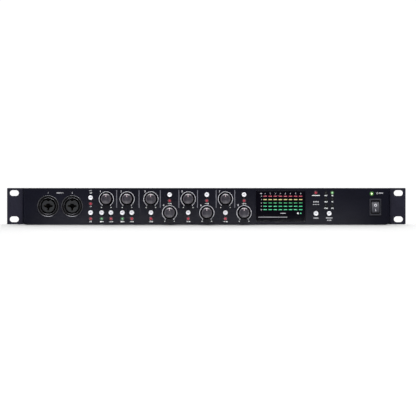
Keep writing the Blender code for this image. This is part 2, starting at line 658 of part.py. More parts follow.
# ---- Sockets --------------------------------------------------------------------------------
def make_combo_sockets():
    """Round sockets that take either of two plugs: a ring groove round a bored insert."""
    finish = material("socket_black", (0.05, 0.05, 0.055), 0.4)

    def collar(bm):
        add_rod(bm, (0, 0), SOCKET_RADIUS, 20, 0.0, SOCKET_COLLAR_LENGTH + 0.001)

    def body(bm):
        add_box_at(bm, (0, 0), SOCKET_BODY, SOCKET_COLLAR_LENGTH, SOCKET_LENGTH)

    def bore(bm):
        add_rod(bm, (0, 0), PLUG_BORE_RADIUS, 12, -REACH, PLUG_BORE_DEPTH)

    def pin_holes(bm):
        for place in PIN_HOLES:
            add_rod(bm, place, PIN_HOLE_RADIUS, 6, -REACH, PIN_HOLE_DEPTH)

    blank = part("socket_blank", mesh_of("combo_socket", collar), finish)
    combine(blank, 'UNION', tool("socket_body", mesh_of("body", body)))
    combine(blank, 'DIFFERENCE', tool("socket_groove", socket_groove()))
    combine(blank, 'DIFFERENCE', tool("socket_bore", mesh_of("bore", bore)))
    combine(blank, 'DIFFERENCE', tool("socket_pins", mesh_of("pins", pin_holes)))
    mesh = settled_mesh(blank, "combo_socket")
    places = [(x, FRONT_FACE_Y, 0.0) for x in FRONT_SOCKETS_X]
    places += [(x, REAR_WALL_Y + 0.0008, math.pi) for x in REAR_SOCKETS_X]
    for number, (x, y, turn) in enumerate(places, start=1):
        part(f"combo_socket_{number}", mesh, finish, (x, y, MID_Z), (0, 0, turn))


def socket_groove():
    """The ring groove that takes a plug's round shell, as a cutter, opening towards -Y."""
    inner, outer, depth = GROOVE_INNER_RADIUS, GROOVE_OUTER_RADIUS, GROOVE_DEPTH
    profile = [(inner, REACH), (outer, REACH), (outer, -depth), (inner, -depth), (inner, REACH)]
    finish = bpy.data.materials["socket_black"]
    blank = turned("groove_blank", profile, 20, finish)
    blank.rotation_euler = FACING_FRONT
    mesh = settled_mesh(blank, "socket_groove")
    for vert in mesh.vertices:
        x, y, z = vert.co
        vert.co = (x, -z, y)
    return mesh


def make_output_jacks():
    finish = material("jack_black", (0.03, 0.03, 0.03), 0.45)
    inside = REAR_WALL_Y - SHEET - FIT_GAP
    middle_x = sum(OUTPUT_JACKS_X) / len(OUTPUT_JACKS_X)
    rows = (("output_jacks_lower", OUTPUT_LOWER_Z, COMPONENT_BASE_Z + 0.0004, 0.0207),
            ("output_jacks_upper", OUTPUT_UPPER_Z, 0.0210, 0.0356))
    for name, jack_z, base_z, top_z in rows:

        def body(bm):
            add_box(bm, (middle_x - JACK_BLOCK_HALF, inside - JACK_BLOCK_DEPTH, base_z),
                    (middle_x + JACK_BLOCK_HALF, inside, top_z))

        def bushings(bm):
            for x in OUTPUT_JACKS_X:
                add_rod(bm, (x, jack_z), JACK_BUSHING_RADIUS, 12, inside - SEAT,
                        REAR_WALL_Y + 0.0030)

        def bores(bm):
            for x in OUTPUT_JACKS_X:
                add_rod(bm, (x, jack_z), PLUG_BORE_RADIUS, 12, inside - JACK_BORE_DEPTH,
                        REAR_WALL_Y + REACH)

        piece = part(name, mesh_of(name, body), finish)
        combine(piece, 'UNION', tool(name + "_bushings", mesh_of("bushings", bushings)))
        combine(piece, 'DIFFERENCE', tool(name + "_bores", mesh_of("bores", bores)))


def make_optical_ports():
    finish = material("optical_black", (0.025, 0.025, 0.03), 0.4)

    def body(bm):
        add_box_at(bm, OPTICAL_CENTRE, OPTICAL_BODY, REAR_WALL_Y - 0.0140, REAR_WALL_Y + 0.0006)

    def mouths(bm):
        for x in OPTICAL_X:
            add_box_at(bm, (x, OPTICAL_Z), OPTICAL_MOUTH, REAR_WALL_Y - 0.0100,
                       REAR_WALL_Y + REACH)

    piece = part("optical_ports", mesh_of("optical_ports", body), finish)
    combine(piece, 'DIFFERENCE', tool("optical_mouths", mesh_of("mouths", mouths)))


def make_clock_jack():
    """A bayonet socket: a threaded barrel with a bore and a contact pin in its middle."""
    finish = material("bayonet_nickel", (0.60, 0.58, 0.52), 0.3, 1.0)
    tip = REAR_PROJECTION

    inside = -SHEET - FIT_GAP

    def base(bm):
        add_box(bm, (-0.0072, -0.0145, -0.0075), (0.0072, inside, 0.0072))

    def nut(bm):
        add_rod(bm, (0, 0), 0.0075, 6, FIT_GAP, 0.0024)

    contact, mouth, barrel, bore_end = 0.0007, 0.0035, 0.0048, tip - 0.0085
    profile = [(0.0, tip - 0.0010), (contact, tip - 0.0010), (contact, bore_end),
               (mouth, bore_end), (mouth, tip), (barrel, tip), (barrel, 0.0020),
               (CLOCK_THREAD_RADIUS, 0.0020), (CLOCK_THREAD_RADIUS, inside - SEAT),
               (0.0, inside - SEAT)]
    blank = turned("barrel_blank", profile, 12, finish)
    barrel_mesh = settled_mesh(blank, "word_clock_jack")
    for vert in barrel_mesh.vertices:
        x, y, z = vert.co
        vert.co = (-x, z, y)
    piece = part("word_clock_jack", barrel_mesh, finish, (CLOCK_JACK[0], REAR_WALL_Y,
                                                          CLOCK_JACK[1]))
    for name, build in (("clock_base", base), ("clock_nut", nut)):
        helper = tool(name, mesh_of(name, build))
        helper.location = piece.location
        combine(piece, 'UNION', helper)


def make_mains_inlet():
    finish = material("inlet_black", (0.02, 0.02, 0.02), 0.35)
    x, z = INLET_CENTRE
    flange_back = REAR_WALL_Y + 0.0028

    def flange(bm):
        add_box_at(bm, INLET_CENTRE, INLET_FLANGE, REAR_WALL_Y + FIT_GAP, flange_back)

    def body(bm):
        add_box_at(bm, INLET_CENTRE, INLET_BODY, INLET_BACK_Y, REAR_WALL_Y + 0.0010)

    def cavity(bm):
        add_box_at(bm, INLET_CENTRE, INLET_CAVITY, REAR_WALL_Y - 0.0150, flange_back + REACH)

    def pins(bm):
        for across, up in ((-INLET_PIN_X, -INLET_PIN_Z), (0, INLET_PIN_Z),
                           (INLET_PIN_X, -INLET_PIN_Z)):
            add_box_at(bm, (x + across, z + up), (0.0020, 0.0040), REAR_WALL_Y - 0.0155,
                       REAR_WALL_Y - 0.0030)

    piece = part("mains_inlet", mesh_of("mains_inlet", flange), finish)
    combine(piece, 'UNION', tool("inlet_body", mesh_of("body", body)))
    combine(piece, 'DIFFERENCE', tool("inlet_cavity", mesh_of("cavity", cavity)))
    combine(piece, 'UNION', tool("inlet_pins", mesh_of("pins", pins)))


# ---- Inside the chassis -----------------------------------------------------------------------
def make_main_board():
    """The audio board: in each channel a relay, a chip and a capacitor, and two larger chips."""
    (low_x, low_y), (high_x, high_y) = MAIN_BOARD
    tongue_x, tongue_y = MAIN_BOARD_TONGUE

    def board(bm):
        add_box(bm, (low_x, low_y, BOARD_BOTTOM_Z), (high_x, high_y, BOARD_TOP_Z))

    def tongue(bm):
        add_box(bm, (low_x, tongue_y, BOARD_BOTTOM_Z), (tongue_x, low_y + 0.001, BOARD_TOP_Z))

    def components(bm):
        base, chip_top, relay_top, can_top = BOARD_TOP_Z - SEAT, 0.0100, 0.0180, 0.0200
        for x in CHANNEL_PARTS_X:
            add_box(bm, (x - 0.005, 0.040, base), (x + 0.005, 0.060, relay_top))
            add_box(bm, (x - 0.004, -0.010, base), (x + 0.004, 0.004, chip_top))
            add_post(bm, x, 0.022, 0.0050, 8, base, can_top)
        add_box(bm, (0.030, -0.030, base), (0.058, -0.002, chip_top))
        add_box(bm, (0.070, 0.020, base), (0.088, 0.038, chip_top))
        add_box(bm, (CONTROL_HEADER[0] - HEADER_SIZE[0] / 2, -0.0860, base),
                (CONTROL_HEADER[0] + HEADER_SIZE[0] / 2, -0.0790, HEADER_TOP_Z))

    finish = material("main_board_green", (0.02, 0.11, 0.05), 0.5)
    piece = part("main_board", mesh_of("main_board", board), finish)
    combine(piece, 'UNION', tool("board_tongue", mesh_of("tongue", tongue)))
    combine(piece, 'UNION', tool("components", mesh_of("components", components)))


def make_power_supply():
    """The supply board with its capacitors and heat sink soldered on, and the transformer."""
    board_finish = material("supply_board_tan", (0.30, 0.22, 0.10), 0.5)
    core_finish = material("transformer_core", (0.10, 0.09, 0.09), 0.6)
    (low_x, low_y), (high_x, high_y) = SUPPLY_BOARD
    base = BOARD_TOP_Z - SEAT

    def board(bm):
        add_box(bm, (low_x, low_y, BOARD_BOTTOM_Z), (high_x, high_y, BOARD_TOP_Z))

    def capacitors(bm):
        for y in (-0.035, -0.008):
            add_post(bm, CAPACITORS_X, y, 0.0100, 16, base, 0.0340)
        for y in (0.020, 0.034, 0.048):
            add_post(bm, CAPACITORS_X, y, 0.0050, 8, base, 0.0240)

    def sink(bm):
        add_box(bm, (0.1620, 0.0480, base), (0.2020, 0.0640, 0.0350))

    def fin_gaps(bm):
        for step in range(5):
            x = 0.1664 + step * 0.0078
            add_box(bm, (x - 0.0022, 0.040, 0.0140), (x + 0.0022, 0.070, 0.0400))

    def core(bm):
        add_box(bm, (0.1600, -0.0180, COMPONENT_BASE_Z), (0.2040, 0.0200, 0.0345))

    def winding(bm):
        add_box(bm, (0.1670, -0.0240, COMPONENT_BASE_Z + 0.002), (0.1970, 0.0260, 0.0325))

    supply = part("power_supply_board", mesh_of("power_supply_board", board), board_finish)
    combine(supply, 'UNION', tool("capacitors", mesh_of("capacitors", capacitors)))
    combine(supply, 'UNION', tool("heat_sink", mesh_of("sink", sink)))
    combine(supply, 'DIFFERENCE', tool("fin_gaps", mesh_of("fin_gaps", fin_gaps)))
    transformer = part("transformer", mesh_of("transformer", core), core_finish)
    combine(transformer, 'UNION', tool("winding", mesh_of("winding", winding)))


def make_ribbon_cable():
    """The flat cable that drops from the control board's header to the main board's."""
    start_y, end_y = BOARD_FRONT_Y + BOARD_THICKNESS + 0.0056, -0.0825
    start_z, end_z = CONTROL_HEADER[1], HEADER_TOP_Z + 0.0004
    half_width = HEADER_SIZE[0] / 2 - 0.002
    low_x, high_x = CONTROL_HEADER[0] - half_width, CONTROL_HEADER[0] + half_width
    steps = 8

    def strip(bm):
        edge = []
        for step in range(steps + 1):
            turn = math.pi / 2 * step / steps
            y = start_y + (end_y - start_y) * math.sin(turn)
            z = end_z + (start_z - end_z) * math.cos(turn)
            edge.append([bm.verts.new((x, y, z)) for x in (low_x, high_x)])
        for near, far in zip(edge, edge[1:]):
            bm.faces.new((near[0], near[1], far[1], far[0]))

    finish = material("ribbon_grey", (0.35, 0.36, 0.38), 0.6)
    ribbon = part("ribbon_cable", mesh_of("ribbon_cable", strip), finish)
    thicken = ribbon.modifiers.new("Thickness", 'SOLIDIFY')
    thicken.thickness = 0.0009
    thicken.offset = 0.0


def smooth_route(points, steps):
    """Points on a smooth curve through the given ones (Catmull-Rom)."""
    padded = [points[0], *points, points[-1]]
    route = []
    for i in range(1, len(padded) - 2):
        p0, p1, p2, p3 = padded[i - 1:i + 3]
        for step in range(steps):
            t = step / steps
            route.append(tuple(
                0.5 * (2 * b + (c - a) * t + (2 * a - 5 * b + 4 * c - d) * t ** 2
                       + (3 * b - a - 3 * c + d) * t ** 3)
                for a, b, c, d in zip(p0, p1, p2, p3)))
    return route + [points[-1]]


def make_mains_harness():
    """The sleeved wires from the mains inlet to the power switch, clipped along the side."""
    inlet_x, switch_x = INLET_CENTRE[0] + INLET_PIN_X, SWITCH_CENTRE[0]
    inlet_back, switch_back = INLET_BACK_Y - 0.0010, SWITCH_BACK_Y + 0.0008
    clip_x = 0.2092
    route = smooth_route([
        (inlet_x, inlet_back, 0.0220), (inlet_x, inlet_back - 0.0050, 0.0220),
        (clip_x - 0.0020, 0.0780, 0.0195), (clip_x, 0.0500, 0.0180), (clip_x, -0.0500, 0.0180),
        (clip_x - 0.0015, -0.0760, 0.0195), (switch_x, switch_back + 0.0050, SWITCH_CENTRE[1]),
        (switch_x, switch_back, SWITCH_CENTRE[1])], 3)
    curve = bpy.data.curves.new("mains_harness", 'CURVE')
    curve.dimensions = '3D'
    curve.bevel_depth = 0.0021
    curve.bevel_resolution = 2
    curve.use_fill_caps = True
    spline = curve.splines.new('POLY')
    spline.points.add(len(route) - 1)
    for point, place in zip(spline.points, route):
        point.co = (*place, 1.0)
    curve.materials.append(material("harness_black", (0.02, 0.02, 0.02), 0.6))
    PARTS.objects.link(bpy.data.objects.new("mains_harness", curve))


def main():
    make_front_panel()
    make_rack_ears()
    make_tray()
    make_walls()
    make_cover()
    make_knobs()
    make_buttons()
    make_power_switch()
    make_power_led()
    make_meter()
    make_control_board()
    make_combo_sockets()
    make_output_jacks()
    make_optical_ports()
    make_clock_jack()
    make_mains_inlet()
    make_main_board()
    make_power_supply()
    make_ribbon_cable()
    make_mains_harness()


clear_scene()
PARTS = make_collection("rack_audio_interface")
CUTTERS = make_collection("cutters")
main()
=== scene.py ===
"""The looks of a rack audio interface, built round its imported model.

All lengths are in metres, in the model's frame: +X right, +Z up, the front faces -Y.
"""
import json
import math

import bmesh
import bpy
from mathutils import Matrix, Vector


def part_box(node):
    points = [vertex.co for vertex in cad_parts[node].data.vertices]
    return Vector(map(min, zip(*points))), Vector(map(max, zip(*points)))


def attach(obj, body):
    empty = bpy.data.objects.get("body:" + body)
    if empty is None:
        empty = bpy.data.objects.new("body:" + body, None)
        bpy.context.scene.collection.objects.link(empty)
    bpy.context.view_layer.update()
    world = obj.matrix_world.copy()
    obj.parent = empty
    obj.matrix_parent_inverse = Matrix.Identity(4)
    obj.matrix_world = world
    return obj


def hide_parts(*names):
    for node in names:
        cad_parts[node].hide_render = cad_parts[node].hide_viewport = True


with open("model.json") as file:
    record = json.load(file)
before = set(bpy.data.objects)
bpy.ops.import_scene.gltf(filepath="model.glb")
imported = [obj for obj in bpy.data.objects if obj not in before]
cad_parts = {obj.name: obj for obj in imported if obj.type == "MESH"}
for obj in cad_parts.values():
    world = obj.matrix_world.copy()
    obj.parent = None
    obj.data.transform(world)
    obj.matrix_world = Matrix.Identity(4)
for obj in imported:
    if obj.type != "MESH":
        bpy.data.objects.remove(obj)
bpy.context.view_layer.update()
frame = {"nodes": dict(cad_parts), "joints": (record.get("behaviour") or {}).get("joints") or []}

# ---- Places read from the frame
ROOT = "chassis"
FACE_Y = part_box("front_panel")[0].y
PANEL_TOP_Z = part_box("rack_ear_left")[1].z
EAR_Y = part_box("rack_ear_left")[0].y
REAR_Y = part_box("rear_panel")[1].y


def middle(node):
    low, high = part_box(node)
    return (low + high) / 2


CHANNELS = range(1, 9)
KNOBS = {f"gain_knob_{i}": middle(f"gain_knob_{i}") for i in CHANNELS}
BUTTONS = {n: middle(n) for n in sorted(frame["nodes"]) if "_button" in n}
LAMP_BUTTONS = {n: p for n, p in BUTTONS.items() if n not in ("sync_button", "rate_button")}
METER = middle("meter_window")
SWITCH = middle("switch_frame")
POWER_LED = middle("power_led")
FRONT_SOCKETS = [middle(f"combo_socket_{i}") for i in (1, 2)]
REAR_SOCKETS = [middle(f"combo_socket_{i}") for i in range(3, 9)]

# ---- Sizes and places of the finer shapes
SHEET = 0.0012
SCREW_STAND = 0.0001
SOCKET_HOLE = 0.0132
KNOB_HOLE = 0.0043
BUTTON_HOLE = 0.0030
POWER_LENS_HOLE = 0.0018
SWITCH_HOLE = (0.0126, 0.0186)
SWITCH_BODY = (0.0120, 0.0180)
CONTROLS_HOLE = (0.304, 0.0370)  # in the sub-panel, round all the controls and the meter
CONTROLS_MIDDLE = (0.006, 0.0220)
BEZEL_DEPTH = 0.0015

EAR_DROP = 0.00035  # how far the ears reach below their nodes
EAR_THICKNESS = 0.0025
EAR_SLOT = (0.0110, 0.0069)
EAR_SLOT_SPAN = (0.4651, 0.03175)
EAR_SCREWS = ((0.014, 0.011), (0.014, -0.011), (-0.010, 0.0))

VENT_COUNT = 14
VENT_PITCH = 0.008
VENT_SIZE = (0.0160, 0.0030)
VENT_MIDDLE = (0.020, 0.026)
COVER_SCREWS_Y = (-0.040, 0.030, 0.100)
COVER_SCREWS_Z = 0.0075
LID_SCREWS_X = (-0.150, 0.0, 0.150)

KNOB_DISH = 0.0010
LED_DROP = 0.0073  # from a button down to its lamp
LED_RADIUS = 0.0014
RATE_LED_X = (0.1445, 0.1521)
RATE_LED_Z = (0.0386, 0.0311, 0.0232)
RATES = (("44.1", "88.2", "176.4"), ("48", "96", "192"))
SYNC_LED = (0.1322, 0.0386)

METER_SIZE = (0.0594, 0.0374)
METER_GLASS = (METER.x, METER.z - 0.0002)
METER_GLASS_DEPTH = 0.0040
METER_PITCH_X = 0.00613
METER_PITCH_Z = 0.00405
METER_BAR = (0.0041, 0.0010)
METER_FIRST = (METER.x - 0.0187, METER.z + 0.0120)
METER_HEAD_Z = METER_FIRST[1] + 0.0032
METER_MARKS_BACK = 0.00018  # the marks lie on the glass, which is a little behind the face

INK_RISE = 0.00004
SEPARATORS_Z = (0.0204, 0.0418)
SEPARATOR_WIDTH = 0.0009
HALO_RADIUS = 0.00874
HALO_WIDTH = 0.00056
HALO_OPEN = math.radians(31)
HALO_FOOT_RADIUS = 0.0099
SOCKET_MARKS_RISE = 0.0159  # from a socket's middle up to its number
LABEL_DROP = LED_DROP + 0.0036  # from a button down to its label

OUTPUT_PITCH = 0.0165
OUTPUT_ROWS_Z = (0.0146, 0.0295)
OUTPUT_HOLE = 0.0049
CLOCK_HOLE = 0.0056
OPTICAL_HOLE = (0.0300, 0.0124)
INLET_HOLE = (0.0276, 0.0206)

FACING_FRONT = Matrix.Rotation(math.pi / 2, 4, 'X')
FACING_REAR = Matrix.Rotation(math.pi, 4, 'Z') @ FACING_FRONT


# ---- Materials
def surface(colour, roughness, metallic=0.0, specular=0.5, grain=900.0, bump=0.15,
            variation=0.12, rough_variation=0.08, coat=0.0, streak=(1.0, 1.0, 1.0)):
    """A procedural finish: colour and gloss that vary a little, and a fine grain as bump."""
    finish = bpy.data.materials.new("finish")
    finish.use_nodes = True
    nodes, links = finish.node_tree.nodes, finish.node_tree.links
    shader = nodes["Principled BSDF"]
    shader.inputs["Metallic"].default_value = metallic
    shader.inputs["Specular IOR Level"].default_value = specular
    shader.inputs["Coat Weight"].default_value = coat
    shader.inputs["Coat Roughness"].default_value = 0.08

    place = nodes.new("ShaderNodeTexCoord")
    stretch = nodes.new("ShaderNodeMapping")
    stretch.inputs["Scale"].default_value = streak
    links.new(place.outputs["Object"], stretch.inputs["Vector"])

    blotch = nodes.new("ShaderNodeTexNoise")
    blotch.inputs["Scale"].default_value = grain / 18
    blotch.inputs["Detail"].default_value = 4.0
    links.new(stretch.outputs["Vector"], blotch.inputs["Vector"])
    tint = nodes.new("ShaderNodeValToRGB")
    for stop, place_on_ramp, change in ((0, 0.3, -variation), (1, 0.7, variation)):
        tint.color_ramp.elements[stop].position = place_on_ramp
        tint.color_ramp.elements[stop].color = (*[c * (1 + change) for c in colour], 1.0)
    links.new(blotch.outputs["Fac"], tint.inputs["Fac"])
    links.new(tint.outputs["Color"], shader.inputs["Base Color"])

    speck = nodes.new("ShaderNodeTexNoise")
    speck.inputs["Scale"].default_value = grain
    speck.inputs["Detail"].default_value = 3.0
    links.new(stretch.outputs["Vector"], speck.inputs["Vector"])
    gloss = nodes.new("ShaderNodeMapRange")
    gloss.inputs["To Min"].default_value = roughness - rough_variation
    gloss.inputs["To Max"].default_value = roughness + rough_variation
    links.new(speck.outputs["Fac"], gloss.inputs["Value"])
    links.new(gloss.outputs["Result"], shader.inputs["Roughness"])
    relief = nodes.new("ShaderNodeBump")
    relief.inputs["Strength"].default_value = bump
    relief.inputs["Distance"].default_value = 0.0001
    links.new(speck.outputs["Fac"], relief.inputs["Height"])
    links.new(relief.outputs["Normal"], shader.inputs["Normal"])
    return finish


def lamp(colour, strength, core, reach=0.6):
    """A lit lens: brighter and paler in its middle, deeper in colour towards its rim."""
    finish = surface([c * 0.5 for c in colour], 0.2, grain=1500, bump=0.05)
    nodes, links = finish.node_tree.nodes, finish.node_tree.links
    shader = nodes["Principled BSDF"]
    facing = nodes.new("ShaderNodeLayerWeight")
    facing.inputs["Blend"].default_value = 0.35
    ramp = nodes.new("ShaderNodeValToRGB")
    ramp.color_ramp.elements[0].color = (*core, 1.0)
    ramp.color_ramp.elements[1].color = (*colour, 1.0)
    ramp.color_ramp.elements[1].position = reach
    links.new(facing.outputs["Facing"], ramp.inputs["Fac"])
    links.new(ramp.outputs["Color"], shader.inputs["Emission Color"])
    shader.inputs["Emission Strength"].default_value = strength
    return finish


def make_materials():
    made = {
        "fascia": surface((0.0020, 0.0021, 0.0060), 0.36, specular=0.09, grain=1400, bump=0.10,
                          streak=(0.35, 1.0, 1.0)),
        "ear": surface((0.0092, 0.0090, 0.0170), 0.58, specular=0.10, grain=1900, bump=0.35),
        "cover": surface((0.0075, 0.0075, 0.0092), 0.60, specular=0.15, grain=1700, bump=0.45),
        "tray": surface((0.0080, 0.0080, 0.0098), 0.60, specular=0.15, grain=1700, bump=0.45),
        "knob": surface((0.0068, 0.0046, 0.0115), 0.42, specular=0.37, grain=2600, bump=0.12),
        # The rim is the same plastic as the cap but given a far lighter colour: a painted
        # highlight along the rim, on top of its real gloss.
        "knob_rim_painted_highlight": surface((0.052, 0.047, 0.056), 0.22, specular=0.95, grain=2600, bump=0.05,
                            rough_variation=0.04),
        # Near black, darker than the knob's own plastic: partly the skirt's real black and
        # partly painted shade, the cap's shadow between the cap and the printed ring.
        "skirt": surface((0.0007, 0.0007, 0.0009), 0.55, specular=0.01, grain=2600, bump=0.10),
        "pointer": surface((0.32, 0.24, 0.28), 0.45, grain=2400, bump=0.05),
        "button": surface((0.60, 0.60, 0.63), 0.32, grain=2200, bump=0.04, variation=0.02),
        # The grey of each button's dished centre is painted shade in the dish; the button itself
        # is white plastic.
        "dish": surface((0.36, 0.36, 0.39), 0.38, grain=2200, bump=0.04, variation=0.03),
        "window": surface((0.0012, 0.0010, 0.0026), 0.07, specular=0.12, grain=400, bump=0.01,
                          rough_variation=0.02, coat=0.12),
        "plastic": surface((0.006, 0.006, 0.008), 0.42, specular=0.2, grain=2200, bump=0.20),
        "disc": surface((0.0155, 0.0165, 0.0180), 0.50, specular=0.10, grain=2200, bump=0.25),
        # Near black, darker than the black plastic of the socket bodies: painted shade for the
        # socket collars, wells and latches and for the switch's well.
        "recess": surface((0.0012, 0.0012, 0.0014), 0.55, specular=0.04, grain=2200, bump=0.15),
        "ring": surface((0.080, 0.080, 0.090), 0.22, metallic=0.7, grain=1500, bump=0.04),
        "nickel": surface((0.56, 0.54, 0.49), 0.25, metallic=1.0, grain=1200, bump=0.05,
                          streak=(1.0, 1.0, 4.0)),
        "contact": surface((0.030, 0.024, 0.014), 0.40, metallic=1.0, grain=1400, bump=0.04),
        "steel": surface((0.05, 0.05, 0.055), 0.35, metallic=0.9, grain=1500, bump=0.10),
        "ink_dim": surface((0.085, 0.085, 0.105), 0.55, grain=3000, bump=0.05, variation=0.08),
        "rocker": surface((0.030, 0.030, 0.038), 0.40, specular=0.25, grain=2200, bump=0.08),
        "rocker_frame": surface((0.020, 0.020, 0.026), 0.45, specular=0.15, grain=2200,
                                bump=0.10),
        "led_red": lamp((0.12, 0.003, 0.010), 1.0, (0.42, 0.016, 0.050), 0.45),
        "led_green": lamp((0.003, 0.035, 0.006), 1.0, (0.20, 0.50, 0.26), 0.34),
        "led_power": lamp((0.06, 0.26, 0.01), 1.9, (0.95, 1.0, 0.66)),
        "led_rate": lamp((0.01, 0.07, 0.01), 1.0, (0.42, 0.80, 0.40)),
        "led_off": surface((0.008, 0.009, 0.010), 0.25, specular=0.2, grain=1500, bump=0.04),
        "collar_off": surface((0.0018, 0.0018, 0.0030), 0.45, specular=0.1, grain=1500,
                              bump=0.04),
        "bar_red": lamp((0.32, 0.03, 0.05), 0.80, (0.42, 0.080, 0.12)),
        "bar_yellow": lamp((0.30, 0.26, 0.10), 1.3, (0.44, 0.39, 0.17)),
        "bar_green": lamp((0.020, 0.16, 0.06), 1.3, (0.022, 0.23, 0.080)),
        "bar_bright": lamp((0.026, 0.24, 0.11), 1.25, (0.036, 0.36, 0.165)),
        "board": surface((0.010, 0.075, 0.030), 0.35, grain=700, bump=0.20, variation=0.25),
        "tan_board": surface((0.30, 0.19, 0.07), 0.5, grain=700, bump=0.20),
        "core": surface((0.09, 0.08, 0.08), 0.5, metallic=0.6, grain=900, bump=0.3,
                        streak=(1.0, 1.0, 9.0)),
        "shaft": surface((0.50, 0.50, 0.52), 0.30, metallic=1.0, grain=1200, bump=0.10,
                         streak=(1.0, 6.0, 1.0)),
        "ribbon": surface((0.28, 0.29, 0.31), 0.55, grain=600, bump=0.2, streak=(6.0, 0.2, 0.2)),
        "sleeve": surface((0.012, 0.012, 0.013), 0.6, grain=1600, bump=0.4),
    }
    for name, colour in (("ink", (0.42, 0.42, 0.45)), ("ink_label", (0.58, 0.60, 0.60)),
                         ("ink_soft", (0.30, 0.30, 0.32)), ("ink_faint", (0.17, 0.17, 0.18))):
        made[name] = surface(colour, 0.55, grain=3000, bump=0.05, variation=0.06)
    # Collars round lit lamps, tinted in the lamp's colour: a painted glow of the lamp's light
    # spilling onto the fascia.
    for name, colour in (("red", (0.042, 0.003, 0.007)), ("green", (0.002, 0.028, 0.006)),
                         ("rate", (0.006, 0.036, 0.004)), ("power", (0.008, 0.070, 0.003))):
        made["collar_" + name] = surface(colour, 0.35, grain=1500, bump=0.04)
    for name, finish in made.items():
        finish.name = name
    return made


# ---- Shape helpers
def new_object(name, data):
    item = bpy.data.objects.new(name, data)
    bpy.context.scene.collection.objects.link(item)
    return item


def piece(name, mesh, finish, body=ROOT, place=(0, 0, 0), turn=None, sharp=35):
    """One visible piece, riding on a body of the model."""
    item = new_object(name, mesh)
    if not mesh.materials:
        mesh.materials.append(MATERIALS[finish])
    mesh.shade_smooth()
    mesh.set_sharp_from_angle(angle=math.radians(sharp))
    item.matrix_world = Matrix.Translation(place) @ (turn or Matrix.Identity(4))
    even = item.modifiers.new("Even", 'WEIGHTED_NORMAL')
    even.keep_sharp = True
    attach(item, body)
    return item


def front_piece(name, mesh, finish, place=(0.0, 0.0), back=0.0, body=ROOT):
    """A piece that faces the front: place is its (x, z), and back its depth behind the face."""
    return piece(name, mesh, finish, body, (place[0], FACE_Y + back, place[1]), FACING_FRONT)


def from_bmesh(name, bm):
    mesh = bpy.data.meshes.new(name)
    bmesh.ops.recalc_face_normals(bm, faces=bm.faces)
    bm.to_mesh(mesh)
    bm.free()
    return mesh


def settle(item, name):
    """The evaluated mesh of a scratch object, which is then removed."""
    bpy.context.view_layer.update()
    mesh = bpy.data.meshes.new_from_object(
        item.evaluated_get(bpy.context.evaluated_depsgraph_get()))
    mesh.name = name
    bpy.data.objects.remove(item, do_unlink=True)
    return mesh


def scratch(data):
    return new_object("scratch", data)


def turned(name, profile, segments=48):
    """A turned mesh about local Z; profile is (radius, forward) pairs from front to back."""
    bm = bmesh.new()
    line = [bm.verts.new((radius, 0.0, forward)) for radius, forward in profile]
    for a, b in zip(line, line[1:]):
        bm.edges.new((a, b))
    bmesh.ops.spin(bm, geom=bm.verts[:] + bm.edges[:], cent=(0, 0, 0), axis=(0, 0, 1),
                   dvec=(0, 0, 0), angle=2 * math.pi, steps=segments, use_merge=True)
    bmesh.ops.remove_doubles(bm, verts=bm.verts, dist=1e-6)
    return from_bmesh(name, bm)


def circle(radius, count=32, centre=(0.0, 0.0)):
    return [(centre[0] + radius * math.cos(2 * math.pi * i / count),
             centre[1] + radius * math.sin(2 * math.pi * i / count)) for i in range(count)]


def arc(radius, start, end, count, centre=(0.0, 0.0)):
    """Points on an arc, with its angles measured from +X towards +Z."""
    return [(centre[0] + radius * math.cos(start + (end - start) * i / count),
             centre[1] + radius * math.sin(start + (end - start) * i / count))
            for i in range(count + 1)]


def rounded(width, height, radius, centre=(0.0, 0.0), steps=5):
    """The outline of a rectangle with round corners."""
    x, z = width / 2 - radius, height / 2 - radius
    points = []
    for corner, (cx, cz) in enumerate(((x, z), (-x, z), (-x, -z), (x, -z))):
        points += arc(radius, math.pi / 2 * corner, math.pi / 2 * (corner + 1), steps,
                      (centre[0] + cx, centre[1] + cz))
    return points


def stadium(length, height, centre=(0.0, 0.0), steps=12):
    return rounded(length, height, height / 2 * 0.999, centre, steps)


def flat_mesh(name, outlines, thickness, edge=0.0):
    """Flat outlines in local XY, thickened along Z; an outline inside another is a hole."""
    curve = bpy.data.curves.new(name, 'CURVE')
    curve.dimensions = '2D'
    curve.fill_mode = 'BOTH'
    curve.extrude = thickness / 2 - edge
    curve.bevel_depth = edge
    curve.bevel_resolution = 1
    curve.offset = -edge
    for points in outlines:
        spline = curve.splines.new('POLY')
        spline.points.add(len(points) - 1)
        for point, (x, y) in zip(spline.points, points):
            point.co = (x, y, 0.0, 1.0)
        spline.use_cyclic_u = True
    mesh = settle(scratch(curve), name)
    bm = bmesh.new()
    bm.from_mesh(mesh)
    bmesh.ops.remove_doubles(bm, verts=bm.verts, dist=1e-6)
    bm.to_mesh(mesh)
    bm.free()
    mesh.materials.clear()
    return mesh


def ink_mesh(*outlines):
    return flat_mesh("ink", outlines, INK_RISE)


def letter_mesh(text, height, centre):
    """Generic characters, such as channel numbers, as thin raised ink.

    They are made one metre high and then scaled, because small outlines fill badly.
    """
    data = bpy.data.curves.new("letters", 'FONT')
    data.body = text
    data.size = 1.38
    data.offset = 0.045
    data.resolution_u = 6
    data.align_x = 'CENTER'
    data.align_y = 'CENTER'
    data.extrude = INK_RISE / 2 / height
    mesh = settle(scratch(data), "letters")
    mesh.transform(Matrix.Translation((centre[0], centre[1], 0)) @ Matrix.Scale(height, 4))
    return mesh


def joined(name, meshes):
    """One mesh of several, all in the same local frame."""
    bm = bmesh.new()
    for mesh in meshes:
        bm.from_mesh(mesh)
        bpy.data.meshes.remove(mesh)
    result = bpy.data.meshes.new(name)
    bm.to_mesh(result)
    bm.free()
    return result


